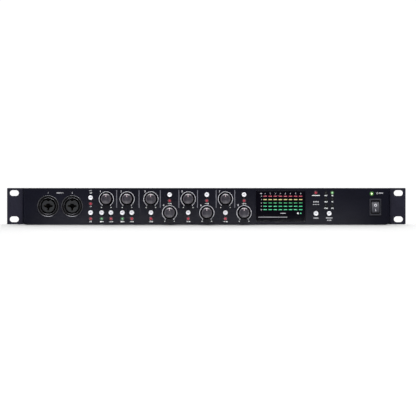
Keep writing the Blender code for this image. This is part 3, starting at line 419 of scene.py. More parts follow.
def block(bm, low, high):
    box = bmesh.ops.create_cube(bm, size=1.0)
    for vert in box["verts"]:
        for axis in range(3):
            vert.co[axis] = low[axis] + (vert.co[axis] + 0.5) * (high[axis] - low[axis])
    return box["verts"]


def rod(bm, place, radius, sides, y_front, y_back):
    """A round rod along Y, at place = (x, z)."""
    made = bmesh.ops.create_cone(bm, cap_ends=True, segments=sides, radius1=radius,
                                 radius2=radius, depth=y_back - y_front)
    for vert in made["verts"]:
        x, y, z = vert.co
        vert.co = (place[0] + x, (y_front + y_back) / 2 - z, place[1] + y)
    return made["verts"]


def cut(mesh, cutter_mesh):
    """The mesh with another cut out of it."""
    target, tool = scratch(mesh), scratch(cutter_mesh)
    modifier = target.modifiers.new("Cut", 'BOOLEAN')
    modifier.operation = 'DIFFERENCE'
    modifier.solver = 'EXACT'
    modifier.object = tool
    result = settle(target, mesh.name)
    bpy.data.objects.remove(tool, do_unlink=True)
    return result


def softened(mesh, width, segments=2, angle=50):
    """The mesh with its sharp edges rounded."""
    item = scratch(mesh)
    modifier = item.modifiers.new("Soften", 'BEVEL')
    modifier.width = width
    modifier.segments = segments
    modifier.limit_method = 'ANGLE'
    modifier.angle_limit = math.radians(angle)
    return settle(item, mesh.name)


def soft_block(low, high, width, segments):
    bm = bmesh.new()
    block(bm, low, high)
    return softened(from_bmesh("block", bm), width, segments)


# ---- Stage: camera, floor and lights
CAMERA_DISTANCE = 3.0
FRAME_WIDTH = 0.50365
SENSOR_MM = 36.0
AIM = Vector((0.00202, EAR_Y, 0.0202))


def make_camera():
    data = bpy.data.cameras.new("camera")
    data.sensor_width = SENSOR_MM
    data.lens = SENSOR_MM * CAMERA_DISTANCE / FRAME_WIDTH
    data.clip_end = 60.0
    camera = new_object("camera", data)
    camera.location = AIM + Vector((0.0, -CAMERA_DISTANCE, 0.0))
    camera.rotation_euler = (math.pi / 2, 0.0, 0.0)
    bpy.context.scene.camera = camera


def plain(name, colour, emission=0.0):
    finish = bpy.data.materials.new(name)
    finish.use_nodes = True
    shader = finish.node_tree.nodes["Principled BSDF"]
    shader.inputs["Base Color"].default_value = (*colour, 1.0)
    shader.inputs["Roughness"].default_value = 0.9
    shader.inputs["Specular IOR Level"].default_value = 0.1
    shader.inputs["Emission Color"].default_value = (1.0, 1.0, 1.0, 1.0)
    shader.inputs["Emission Strength"].default_value = emission
    return finish


def make_floor():
    """A pale floor, level under the object and falling gently away before and behind it."""
    bm = bmesh.new()
    reach, near, far, fall, back_fall = 6.0, FACE_Y, REAR_Y + 0.02, 0.075, 0.03
    rows = [(reach, (far - reach) * back_fall), (far, 0.0), (near, 0.0),
            (-reach, (near + reach) * -fall)]
    previous = None
    for y, z in rows:
        row = [bm.verts.new((x, y, z - 0.0001)) for x in (-reach, reach)]
        if previous:
            bm.faces.new((previous[0], previous[1], row[1], row[0]))
        previous = row
    mesh = from_bmesh("floor", bm)
    mesh.materials.append(plain("floor_pale", (0.265, 0.265, 0.265)))
    new_object("floor", mesh)


def make_backdrop():
    """A plain white surround that only the camera sees, so that it lights nothing."""
    bm = bmesh.new()
    bmesh.ops.create_uvsphere(bm, u_segments=32, v_segments=16, radius=12.0)
    bmesh.ops.reverse_faces(bm, faces=bm.faces)
    mesh = bpy.data.meshes.new("backdrop")
    bm.to_mesh(mesh)
    bm.free()
    mesh.materials.append(plain("backdrop_white", (0.0, 0.0, 0.0), 1.05))
    backdrop = new_object("backdrop", mesh)
    backdrop.visible_diffuse = False
    backdrop.visible_glossy = False
    backdrop.visible_transmission = False
    backdrop.visible_shadow = False


def area_light(name, place, aim, size, power, spread=180):
    data = bpy.data.lights.new(name, 'AREA')
    data.shape = 'RECTANGLE'
    data.size, data.size_y = size
    data.energy = power
    data.spread = math.radians(spread)
    light = new_object(name, data)
    light.location = place
    light.visible_camera = False
    light.rotation_euler = (Vector(aim) - Vector(place)).to_track_quat('-Z', 'Y').to_euler()


def make_lights():
    world = bpy.data.worlds.new("studio")
    world.use_nodes = True
    background = world.node_tree.nodes["Background"]
    background.inputs["Color"].default_value = (0.95, 0.97, 1.0, 1.0)
    background.inputs["Strength"].default_value = 0.12
    bpy.context.scene.world = world
    sun = bpy.data.lights.new("overhead", 'SUN')
    sun.energy = 8.0
    sun.angle = math.radians(75)
    new_object("overhead", sun).rotation_euler = (math.radians(-14), 0.0, 0.0)
    area_light("key", (0.0, -1.5, 1.15), (0, 0, 0.02), (1.8, 0.8), 40)
    area_light("fill_left", (-1.3, -1.3, 0.15), (0, 0, 0.02), (0.6, 0.6), 5)
    area_light("low_strip", (-0.005, FACE_Y - 0.15, -0.003), (-0.005, FACE_Y, 0.006),
               (0.40, 0.004), 0.030, 60)
    area_light("back", (0.3, 1.6, 1.1), (0, 0, 0.02), (1.4, 0.8), 26)
    bpy.context.scene.view_settings.view_transform = 'Standard'


# ---- Front panel and enclosure
def make_fascia():
    low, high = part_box("front_panel")
    back_half = high.x
    front_half = back_half - 0.0018
    depth = high.y - low.y
    run, rise = 0.0046, 0.0014
    corner = 0.0012
    points = [(-front_half + run, low.z), (front_half - run, low.z)]
    points += [(front_half, low.z + rise)]
    points += arc(corner, 0.0, math.pi / 2, 5, (front_half - corner, PANEL_TOP_Z - corner))
    points += arc(corner, math.pi / 2, math.pi, 5, (-front_half + corner, PANEL_TOP_Z - corner))
    points += [(-front_half, low.z + rise)]
    mesh = flat_mesh("fascia", [points], depth)
    bm = bmesh.new()
    bm.from_mesh(mesh)
    bmesh.ops.dissolve_limit(bm, angle_limit=0.01, verts=bm.verts, edges=bm.edges)
    for vert in bm.verts:
        if vert.co.z < 0:
            vert.co.x *= back_half / front_half
    edges = [e for e in bm.edges if all(v.co.z > 0 for v in e.verts)]
    bmesh.ops.bevel(bm, geom=edges, offset=0.0009, segments=4, profile=0.5, affect='EDGES',
                    clamp_overlap=True)
    bm.to_mesh(mesh)
    bm.free()
    mesh.transform(Matrix.Translation((0, (low.y + high.y) / 2, 0)) @ FACING_FRONT)

    holes = bmesh.new()
    for places, radius, sides in (
            ([p.xz for p in FRONT_SOCKETS], SOCKET_HOLE, 64),
            ([p.xz for p in KNOBS.values()], KNOB_HOLE, 24),
            ([p.xz for p in BUTTONS.values()], BUTTON_HOLE, 32),
            (led_places(), LED_RADIUS + 0.0001, 20),
            ([POWER_LED.xz], POWER_LENS_HOLE, 24)):
        for place in places:
            rod(holes, place, radius, sides, low.y - 0.005, high.y + 0.005)
    mesh = cut(mesh, from_bmesh("fascia_holes", holes))
    gap = 0.0004
    window = rounded(METER_SIZE[0] + gap, METER_SIZE[1] + gap, 0.0012, METER_GLASS)
    switch = rounded(*SWITCH_HOLE, 0.0008, SWITCH.xz)
    for outline, reach in ((window, 0.02), (switch, 0.04)):
        tool = flat_mesh("hole", [outline], reach)
        tool.transform(Matrix.Translation((0, low.y, 0)) @ FACING_FRONT)
        mesh = cut(mesh, tool)
    mesh = softened(mesh, 0.00018, 1, 55)
    mesh.name = "fascia"
    item = piece("fascia", mesh, "fascia", sharp=25)
    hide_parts("front_panel")


def led_places():
    """Every indicator lamp on the front but the power lamp, as (x, z)."""
    places = [(p.x, p.z - LED_DROP) for p in LAMP_BUTTONS.values()]
    return places + [SYNC_LED] + [(x, z) for x in RATE_LED_X for z in RATE_LED_Z]


def make_ears():
    for side, name in ((-1, "rack_ear_left"), (1, "rack_ear_right")):
        low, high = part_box(name)
        low.z -= EAR_DROP
        inner = high.x if side < 0 else low.x
        outer = low.x if side < 0 else high.x
        mid_z = (low.z + high.z) / 2
        outlines = [rounded(high.x - low.x, high.z - low.z, 0.0010,
                            ((inner + outer) / 2, mid_z))]
        outlines += [stadium(*EAR_SLOT, (side * EAR_SLOT_SPAN[0] / 2,
                                         mid_z + way * EAR_SLOT_SPAN[1] / 2)) for way in (-1, 1)]
        flange = flat_mesh(name, outlines, EAR_THICKNESS, 0.0002)
        flange.transform(Matrix.Translation((0, EAR_Y + EAR_THICKNESS / 2, 0)) @ FACING_FRONT)
        leg_height = high.z - 0.004 - (low.z + 0.003)
        leg_depth = high.y - EAR_Y - 0.001
        leg_mid_y = (high.y + EAR_Y + 0.001) / 2
        outlines = [rounded(leg_depth, leg_height, 0.003,
                            (leg_mid_y, (low.z + high.z - 0.001) / 2))]
        outlines += [circle(0.0019, 20, (leg_mid_y + dy, mid_z + dz)) for dy, dz in EAR_SCREWS]
        leg = flat_mesh(name + "_leg", outlines, 0.0020, 0.0002)
        leg.transform(Matrix.Translation((inner + side * 0.0010, 0, 0)) @ turn_to_side())
        item = piece(name + "_plate", joined(name, [flange, leg]), "ear")
        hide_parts(name)
        for number, (dy, dz) in enumerate(EAR_SCREWS, 1):
            place = (inner + side * 0.0023, leg_mid_y + dy, mid_z + dz)
            make_screw(f"{name}_screw_{number}", place, facing_side(side))


def turn_to_side():
    """Local X to world Y, local Y to world Z, local Z to world X."""
    return Matrix(((0, 0, 1, 0), (1, 0, 0, 0), (0, 1, 0, 0), (0, 0, 0, 1)))


def facing_side(side):
    return Matrix.Rotation(side * math.pi / 2, 4, 'Y')


def screw_mesh():
    """A low pan head with a cross recess, facing local +Z."""
    head = turned("screw", [(0.0, 0.00095), (0.0012, 0.0009), (0.0022, 0.0006), (0.0027, 0.0001),
                            (0.0027, -0.0002), (0.0, -0.0002)], 24)
    for x, y in ((0.0013, 0.0003), (0.0003, 0.0013)):
        bm = bmesh.new()
        block(bm, (-x, -y, 0.0004), (x, y, 0.002))
        head = cut(head, from_bmesh("slot", bm))
    return head


def make_screw(name, place, turn):
    piece(name, SCREW, "steel", place=place, turn=turn)


def make_cover():
    """The lid and sides: one bent sheet with round shoulders and side vents."""
    low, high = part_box("top_cover")
    bend = 0.0018
    left, right = (low.x + bend, high.z - bend), (high.x - bend, high.z - bend)
    outer = [(low.x, low.z)] + arc(bend, math.pi, math.pi / 2, 6, left)
    outer += arc(bend, math.pi / 2, 0, 6, right) + [(high.x, low.z)]
    gap = bend - SHEET
    inner = [(high.x - SHEET, low.z)] + arc(gap, 0, math.pi / 2, 3, right)
    inner += arc(gap, math.pi / 2, math.pi, 3, left) + [(low.x + SHEET, low.z)]
    mesh = flat_mesh("cover", [outer + inner], high.y - low.y)
    mesh.transform(Matrix.Translation((0, (low.y + high.y) / 2, 0)) @ FACING_FRONT)
    cutters = []
    for step in range(VENT_COUNT):
        slit = flat_mesh("slit", [stadium(*VENT_SIZE)], 0.6)
        y = (step - (VENT_COUNT - 1) / 2) * VENT_PITCH + VENT_MIDDLE[0]
        slit.transform(Matrix.Translation((0, y, VENT_MIDDLE[1])) @ turn_to_side()
                       @ Matrix.Rotation(math.pi / 2, 4, 'Z'))
        cutters.append(slit)
    mesh = cut(mesh, joined("slits", cutters))
    item = piece("cover", mesh, "cover", sharp=30)
    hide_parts("top_cover")
    for side in (-1, 1):
        for number, y in enumerate(COVER_SCREWS_Y, 1):
            make_screw(f"cover_screw_{'left' if side < 0 else 'right'}_{number}",
                       (side * (high.x + SCREW_STAND), y, COVER_SCREWS_Z), facing_side(side))
    for number, x in enumerate(LID_SCREWS_X, 1):
        make_screw(f"lid_screw_{number}", (x, high.y - 0.008, high.z + SCREW_STAND), None)


def make_tray():
    """The floor, with a lip bent up along each side."""
    low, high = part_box("chassis_tray")
    bend, lip_top = 0.0016, 0.0120
    left, right = (low.x + bend, low.z + bend), (high.x - bend, low.z + bend)
    gap = bend - SHEET
    profile = [(low.x, lip_top)] + arc(bend, math.pi, math.pi * 1.5, 5, left)
    profile += arc(bend, math.pi * 1.5, math.pi * 2, 5, right)
    profile += [(high.x, lip_top), (high.x - SHEET, lip_top)]
    profile += arc(gap, 0, -math.pi / 2, 3, right)
    profile += arc(gap, -math.pi / 2, -math.pi, 3, left) + [(low.x + SHEET, lip_top)]
    mesh = flat_mesh("tray", [profile], high.y - low.y)
    mesh.transform(Matrix.Translation((0, (low.y + high.y) / 2, 0)) @ FACING_FRONT)
    item = piece("tray", mesh, "tray", sharp=30)
    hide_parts("chassis_tray")


def upright_sheet(node, outlines):
    """A flat panel in a node's place, with soft edges and the holes among its outlines."""
    low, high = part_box(node)
    centre = (low + high) / 2
    edge = rounded(high.x - low.x, high.z - low.z, 0.0008, centre.xz)
    mesh = flat_mesh(node, [edge] + outlines, high.y - low.y, 0.0002)
    mesh.transform(Matrix.Translation((0, centre.y, 0)) @ FACING_FRONT)
    item = piece(node + "_sheet", mesh, "tray", sharp=30)
    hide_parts(node)


def make_panels():
    """The front sub-panel, which the controls pass through, and the panel at the rear."""
    rounds = [circle(SOCKET_HOLE, 48, p.xz) for p in FRONT_SOCKETS]
    window = rounded(*CONTROLS_HOLE, 0.0010, CONTROLS_MIDDLE)
    switch = rounded(*SWITCH_HOLE, 0.0004, SWITCH.xz)
    upright_sheet("sub_panel", rounds + [window, switch])

    holes = [circle(SOCKET_HOLE, 48, p.xz) for p in REAR_SOCKETS]
    holes += [circle(OUTPUT_HOLE, 24, place) for place in output_places()]
    clock, optical, inlet = [middle(n) for n in ("word_clock_jack", "optical_ports",
                                                 "mains_inlet")]
    holes.append(circle(CLOCK_HOLE, 24, clock.xz))
    holes.append(rounded(*OPTICAL_HOLE, 0.0004, optical.xz))
    holes.append(rounded(*INLET_HOLE, 0.0004, inlet.xz))
    upright_sheet("rear_panel", holes)


def output_places():
    lower = middle("output_jacks_lower")
    xs = [lower.x + (i - 1.5) * OUTPUT_PITCH for i in range(4)]
    return [(x, z) for z in OUTPUT_ROWS_Z for x in xs]


# ---- Controls
def knob_mesh():
    """A skirted cap with shallow flutes, a soft shoulder and a dished face."""
    flutes, per_flute = 24, 4
    count = flutes * per_flute
    rings = [(radius, 0.0125 - KNOB_DISH * (1 - (radius / 0.0050) ** 2), 0.0)
             for radius in (0.0006, 0.0016, 0.0026, 0.0035, 0.0043, 0.0050)]
    rings += [(0.0056, 0.0118, 0.0), (0.0059, 0.0115, 0.0), (0.0060, 0.0112, 0.4),
              (0.0061, 0.0100, 1.0), (0.0062, 0.0046, 1.0), (0.0063, 0.0042, 0.0)]
    bm = bmesh.new()
    previous = None
    for radius, forward, depth in rings:
        row = []
        for i in range(count):
            turn = 2 * math.pi * i / count
            dip = 0.00022 * depth * (0.5 - 0.5 * math.cos(flutes * turn))
            row.append(bm.verts.new(((radius - dip) * math.cos(turn),
                                     (radius - dip) * math.sin(turn), forward)))
        if previous:
            for i in range(count):
                j = (i + 1) % count
                bm.faces.new((previous[i], previous[j], row[j], row[i]))
        else:
            bm.faces.new(row)
        previous = row
    bm.faces.new(list(reversed(previous)))
    return from_bmesh("knob", bm)


def make_knobs():
    cap = knob_mesh()
    rim = turned("knob_rim_painted_highlight", [(0.00500, 0.01262), (0.0051, 0.01262), (0.0060, 0.0118),
                              (0.00595, 0.0116), (0.00500, 0.0124), (0.00500, 0.01262)], 64)
    skirt = turned("knob_skirt", [(0.0, 0.0044), (0.0064, 0.0044), (0.0068, 0.0040),
                                  (0.0073, 0.0030), (0.0074, 0.0022), (0.0074, 0.0008),
                                  (0.0072, 0.0005), (0.0033, 0.0005), (0.0033, 0.0040),
                                  (0.0, 0.0040)], 64)
    bm = bmesh.new()
    for vert in block(bm, (-0.00055, 0.0025, 0.0118), (0.00055, 0.0056, 0.01272)):
        if vert.co.y < 0.004 and vert.co.z > 0.012:
            vert.co.z -= 0.0004
    pointer = softened(from_bmesh("knob_pointer", bm), 0.0001, 2)
    # The rim's finish is lighter than the cap's, a painted highlight; the skirt's near-black
    # finish is partly painted shade round the cap.
    parts = {"cap": (cap, "knob"), "rim": (rim, "knob_rim_painted_highlight"), "skirt": (skirt, "skirt"),
             "pointer": (pointer, "pointer")}
    for name, place in KNOBS.items():
        for part, (mesh, finish) in parts.items():
            item = front_piece(f"{name}_{part}", mesh, finish, place.xz, body=name)
            if part == "cap":
                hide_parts(name)


def make_buttons():
    cap = turned("button_cap", [(0.00120, 0.00190), (0.0016, 0.00214), (0.0020, 0.00232),
                                (0.00235, 0.00236), (0.00260, 0.00222), (0.00272, 0.0019),
                                (0.00272, -0.0078), (0.0, -0.0078)], 40)
    # The dish piece is grey, painted shade in the hollow of each white button.
    dish = turned("button_dish", [(0.0, 0.00166), (0.0007, 0.00172), (0.00122, 0.00192),
                                  (0.00122, 0.0011), (0.0, 0.0011)], 32)
    for name, place in BUTTONS.items():
        item = front_piece(name + "_cap", cap, "button", place.xz, body=name)
        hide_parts(name)
        front_piece(name + "_dish", dish, "dish", place.xz, body=name)


def make_leds():
    """Domed lenses, each in a thin collar that lies on the fascia; round a lit lens the collar
    is tinted in the lamp's colour, a painted glow of its light on the fascia.
    """
    collar = turned("led_collar", [(LED_RADIUS, 0.00010), (0.0022, 0.00010), (0.00230, 0.0),
                                   (LED_RADIUS, 0.0), (LED_RADIUS, 0.00010)], 24)
    lens = turned("led_lens", [(0.0, 0.00045), (0.0005, 0.00040), (0.0009, 0.00022),
                               (0.0012, -0.00005), (LED_RADIUS, -0.0004), (LED_RADIUS, -0.006),
                               (0.0, -0.006)], 24)
    for name, place in LAMP_BUTTONS.items():
        colour = "green" if name.startswith("inst") else "red"
        make_lamp(name + "_lamp", (place.x, place.z - LED_DROP), lens, collar, colour)
    make_lamp("sync_lamp", SYNC_LED, lens, collar, "red")
    for column, x in enumerate(RATE_LED_X):
        for row, z in enumerate(RATE_LED_Z):
            lit = column == 1 and row == 0
            make_lamp(f"rate_lamp_{column + 1}_{row + 1}", (x, z), lens, collar,
                      "rate" if lit else "off")
    power = turned("power_lens", [(0.0, 0.0008), (0.0005, 0.00070), (0.0009, 0.0004),
                                  (0.0012, -0.0002), (0.0012, -0.0062), (0.0022, -0.0062),
                                  (0.0022, -0.0070), (0.0, -0.0070)], 32)
    item = front_piece("power_lamp", power, "led_power", POWER_LED.xz)
    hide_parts("power_led")
    # The power lamp's green flange is the same painted glow of its light on the fascia.
    flange = turned("power_flange", [(0.00125, 0.00012), (0.0024, 0.00012), (0.0026, 0.0),
                                     (0.00125, 0.0), (0.00125, 0.00012)], 32)
    front_piece("power_lamp_collar", flange, "collar_power", POWER_LED.xz)


def make_lamp(name, place, lens, collar, colour):
    front_piece(name, lens.copy(), "led_" + colour, place)
    front_piece(name + "_collar", collar.copy(), "collar_" + colour, place)


# ---- Printing on the fascia
def halo_outline(x, z):
    """A ring round a knob, open at the bottom, with its two ends turned outwards."""
    start, end = -math.pi / 2 + HALO_OPEN, math.pi * 1.5 - HALO_OPEN
    outer, inner = HALO_RADIUS + HALO_WIDTH / 2, HALO_RADIUS - HALO_WIDTH / 2
    foot = HALO_WIDTH / HALO_RADIUS
    points = arc(outer, start + foot, end - foot, 48, (x, z))
    points += arc(HALO_FOOT_RADIUS, end - foot, end, 1, (x, z))
    points += arc(inner, end, start, 48, (x, z))
    return points + arc(HALO_FOOT_RADIUS, start, start + foot, 1, (x, z))


def bar_outline(x, z, width, height):
    return [(x - width / 2, z - height / 2), (x + width / 2, z - height / 2),
            (x + width / 2, z + height / 2), (x - width / 2, z + height / 2)]


def make_printing():
    knobs, sockets = KNOBS.values(), FRONT_SOCKETS
    print_piece("halo_rings", [ink_mesh(halo_outline(p.x, p.z)) for p in knobs], "ink")
    print_piece("channel_numbers", [letter_mesh(str(i), 0.0022, (p.x - 0.0072, p.z + 0.0090))
                                    for i, p in zip(CHANNELS, knobs)], "ink")
    print_piece("range_dots", [ink_mesh(circle(0.0006, 12, (p.x + side * 0.0058, p.z - 0.0103)))
                               for p in knobs for side in (-1, 1)], "ink_label")
    print_piece("socket_numbers", [letter_mesh(str(i), 0.0018, (p.x, p.z + SOCKET_MARKS_RISE))
                                   for i, p in enumerate(sockets, 1)], "ink_soft")
    mid = (sockets[0] + sockets[1]) / 2
    print_piece("socket_icon", jack_icon(mid.x, mid.z + SOCKET_MARKS_RISE, 0.0086), "ink_faint")
    bottom, top = SEPARATORS_Z
    print_piece("separator_lines",
                [ink_mesh(bar_outline(x, (bottom + top) / 2, SEPARATOR_WIDTH, top - bottom))
                 for x in separator_places()], "ink_dim")
    print_piece("control_labels", control_labels(), "ink_label")
    print_piece("soft_labels", soft_labels(), "ink_soft")


def separator_places():
    """Half way between one channel's knob and the next."""
    xs = [place.x for place in KNOBS.values()]
    return [(a + b) / 2 for a, b in zip(xs, xs[1:])]


def print_piece(name, meshes, finish):
    front_piece(name, joined(name, meshes), finish, back=-INK_RISE / 2)


def plug_icon(x, z):
    """A small plug seen from its side."""
    return [ink_mesh(bar_outline(x - 0.0009, z, 0.0022, 0.0014)),
            ink_mesh(bar_outline(x + 0.0009, z, 0.0016, 0.0008)),
            ink_mesh(circle(0.00055, 12, (x + 0.0018, z)))]


def jack_icon(x, z, length):
    """A jack plug drawn from its side: a thick sleeve, a thinner shank and a round tip."""
    height = 0.0017
    return [ink_mesh(rounded(length * 0.46, height, 0.0004, (x - length * 0.27, z))),
            ink_mesh(bar_outline(x + length * 0.12, z, length * 0.30, height * 0.72)),
            ink_mesh(stadium(length * 0.20, height * 0.72, (x + length * 0.39, z)))]


def control_labels():
    marks = []
    for name, place in BUTTONS.items():
        x, z = place.x, place.z - LABEL_DROP
        if name.startswith("pad"):
            marks.append(letter_mesh("-10 dB", 0.0013, (x, z)))
        elif name.startswith("inst"):
            marks += plug_icon(x, z)
    first, rest = BUTTONS["phantom_button_low"], BUTTONS["phantom_button_high"]
    marks.append(letter_mesh("1-2", 0.0015, (first.x, first.z + 0.0056)))
    marks.append(letter_mesh("1-2", 0.0012, (first.x, first.z - LED_DROP - 0.0035)))
    marks.append(letter_mesh("3-8", 0.0015, (rest.x, rest.z - LABEL_DROP)))
    for x, column in zip(RATE_LED_X, RATES):
        marks += [letter_mesh(rate, 0.0015, (x, z - 0.0034))
                  for z, rate in zip(RATE_LED_Z, column)]
    marks.append(ink_mesh(bar_outline(SYNC_LED[0], SYNC_LED[1] - 0.0033, 0.0096, 0.0008)))
    return marks


def soft_labels():
    """The phantom power's voltage, the power sign, and rows of dashes in the places of words."""
    sync, rate = BUTTONS["sync_button"], BUTTONS["rate_button"]
    phantom, power_z = BUTTONS["phantom_button_low"], POWER_LED.z + 0.0007
    marks = [letter_mesh("48 V", 0.0012, (phantom.x, phantom.z + 0.0086))]
    marks += power_icon(POWER_LED.x + 0.0068, power_z)
    for x, z, width, height, count in ((sync.x, sync.z + 0.0141, 0.0075, 0.0016, 4),
                                       (sync.x, sync.z + 0.0109, 0.0083, 0.0008, 3),
                                       (sync.x, sync.z - 0.0055, 0.0060, 0.0016, 4),
                                       (rate.x, rate.z - 0.0054, 0.0081, 0.0016, 5),
                                       (rate.x, rate.z - 0.0082, 0.0054, 0.0013, 3),
                                       (POWER_LED.x + 0.0112, power_z, 0.0050, 0.0015, 4)):
        marks += dash_row(x, z, width, height, count)
    return marks


def dash_row(x, z, width, height, count):
    """Equal dashes, side by side with narrow gaps."""
    pitch = width / count
    return [ink_mesh(bar_outline(x + (i - (count - 1) / 2) * pitch, z, pitch * 0.72, height))
            for i in range(count)]


def power_icon(x, z):
    """The usual power sign: a broken ring with a stroke through its gap."""
    outer = arc(0.00125, math.radians(125), math.radians(415), 20, (x, z))
    inner = arc(0.00080, math.radians(415), math.radians(125), 20, (x, z))
    return [ink_mesh(outer + inner), ink_mesh(bar_outline(x, z + 0.0008, 0.0005, 0.0015))]


# ---- Meter
def meter_place(column, row):
    return (METER_FIRST[0] + METER_PITCH_X * column, METER_FIRST[1] - METER_PITCH_Z * row)


def make_meter():
    window = flat_mesh("meter_glass", [rounded(*METER_SIZE, 0.0010)], METER_GLASS_DEPTH, 0.0001)
    item = front_piece("meter_glass", window, "window", METER_GLASS,
                       0.0002 + METER_GLASS_DEPTH / 2)
    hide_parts("meter_window")
    rows = ("bar_red", "bar_yellow", "bar_green", "bar_bright", "bar_bright")
    for row, finish in enumerate(rows):
        bars = [flat_mesh("bar", [rounded(*METER_BAR, 0.0003, meter_place(column, row))],
                          0.0003, 0.00008) for column in range(8)]
        front_piece(f"meter_bars_{row + 1}", joined("bars", bars), finish,
                    back=0.0001)
    marks = [letter_mesh(str(number), 0.0016, (meter_place(number - 1, 0)[0], METER_HEAD_Z))
             for number in CHANNELS]
    for row, level in enumerate(("0", "3", "6", "9", "18")):
        x, z = meter_place(0, row)
        marks.append(letter_mesh(level, 0.0014, (x - (0.0045 if row < 4 else 0.0049), z)))
    marks.append(letter_mesh("dB", 0.0015, (METER_FIRST[0] - 0.0049, METER_HEAD_Z)))
    low_z = METER.z - 0.0086
    rule = [ink_mesh(bar_outline(METER.x - 0.0095, METER.z - 0.0132, 0.0350, 0.0006)),
            ink_mesh(bar_outline(METER.x + 0.0029, low_z, 0.0064, 0.0008))]
    for name, meshes, finish in (
            ("meter_scale", marks, "ink_soft"),
            ("meter_sync_dot", [ink_mesh(circle(0.0010, 16, (METER.x + 0.0209, low_z)))],
             "ink_label"),
            ("meter_lock_dot", [ink_mesh(circle(0.0008, 16, (METER.x + 0.0243, low_z)))],
             "bar_bright"),
            ("meter_rule", rule, "ink_soft")):
        front_piece(name, joined(name, meshes), finish, back=METER_MARKS_BACK)


# ---- Power switch
def make_switch():
    low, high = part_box("switch_frame")
    window = rounded(0.0112, 0.0164, 0.0005)
    edge = rounded(high.x - low.x - 0.0004, high.z - low.z, 0.0009, (-0.0002, 0.0))
    bezel = flat_mesh("bezel", [edge, window], BEZEL_DEPTH, 0.0003)
    bezel.transform(Matrix.Translation((0, 0, BEZEL_DEPTH / 2)))
    walls = flat_mesh("walls", [rounded(*SWITCH_BODY, 0.0006), window], 0.0120)
    walls.transform(Matrix.Translation((0, 0, -0.0060 - 0.0001)))
    base = flat_mesh("base", [rounded(*SWITCH_BODY, 0.0006)], 0.0070)
    base.transform(Matrix.Translation((0, 0, -0.0156)))
    at = (SWITCH.x, low.y + BEZEL_DEPTH, SWITCH.z)
    item = piece("power_switch_bezel", bezel, "rocker_frame", place=at, turn=FACING_FRONT)
    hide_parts("switch_frame")
    # The well takes the recess finish: painted shade in the slot round the rocker.
    piece("power_switch_well", joined("well", [walls, base]), "recess", place=at,
          turn=FACING_FRONT)
    make_rocker()


def make_rocker():
    joint = [j for j in frame["joints"] if j["child"] == "power_rocker"][0]
    low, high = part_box("power_rocker")
    tilt = math.radians(joint["range_deg"][1]) / 2
    half = [(0.0044, 0.0028), (0.0030, 0.0064), (0.0012, 0.0070), (0.0001, 0.0070),
            (-0.0006, 0.0067), (-0.0013, 0.0061), (-0.0018, 0.0053), (-0.0021, 0.0043),
            (-0.0023, 0.0022)]
    profile = half + [(-0.00235, 0.0)] + [(y, -z) for y, z in reversed(half)]
    mesh = flat_mesh("rocker", [[(z, -y) for y, z in profile]], high.x - low.x - 0.0011, 0.0003)
    to_world = Matrix(((0, 0, 1, 0), (0, -1, 0, 0), (1, 0, 0, 0), (0, 0, 0, 1)))
    lean = Matrix.Rotation(-tilt, 4, 'X')
    item = piece("power_rocker_cap", mesh, "rocker", "power_rocker", joint["pos_m"],
                 lean @ to_world, sharp=20)
    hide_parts("power_rocker")
    ring = flat_mesh("o", [circle(0.0017, 24), circle(0.0009, 24)], 0.0001)
    stroke = flat_mesh("i", [bar_outline(0, 0, 0.0008, 0.0028)], 0.0001)
    for name, mark, height, depth, ink in (
            ("rocker_mark_off", ring, 0.0018, -0.00237, "ink"),
            ("rocker_mark_on", stroke, -0.0041, -0.00226, "ink_soft")):
        slope = math.copysign(0.05, height)
        turn = lean @ Matrix.Translation((0, depth, height)) @ Matrix.Rotation(slope, 4, 'X')
        piece(name, mark, ink, "power_rocker", joint["pos_m"], turn @ FACING_FRONT)


# ---- Sockets
def star_outline():
    """The plug hole with the three pin holes that run into it."""
    centre, lobe = 0.0031, 0.0012
    spread = math.asin(lobe / centre)
    points = arc(centre, spread, math.pi - spread, 16)
    for quarter, reach in ((2, 0.0042), (3, 0.0044), (4, 0.0042)):
        angle = quarter * math.pi / 2
        points += arc(lobe, angle - math.pi / 2, angle + math.pi / 2, 8,
                      (reach * math.cos(angle), reach * math.sin(angle)))
        if quarter < 4:
            points += arc(centre, angle + spread, angle + math.pi / 2 - spread, 6)
    return points


def disc_outline():
    """The insert's face: round, with a V-shaped key notch at its top."""
    radius, notch, depth = 0.0077, 0.32, 0.0019
    points = arc(radius, math.pi / 2 + notch, math.pi * 2.5 - notch, 56)
    return points + [(0.0003, radius - depth), (-0.0003, radius - depth)]


def ring_profile(inner, outer, crown, foot):
    """A ring with a round outer edge and a chamfer that slopes inwards, as turned() takes it."""
    land = outer - 0.00025
    inner_edge = (inner, crown - (land - inner) * 0.8)
    return [inner_edge, (land, crown), (outer - 0.00007, crown - 0.00009),
            (outer, crown - 0.0003), (outer, foot), (inner, foot), inner_edge]


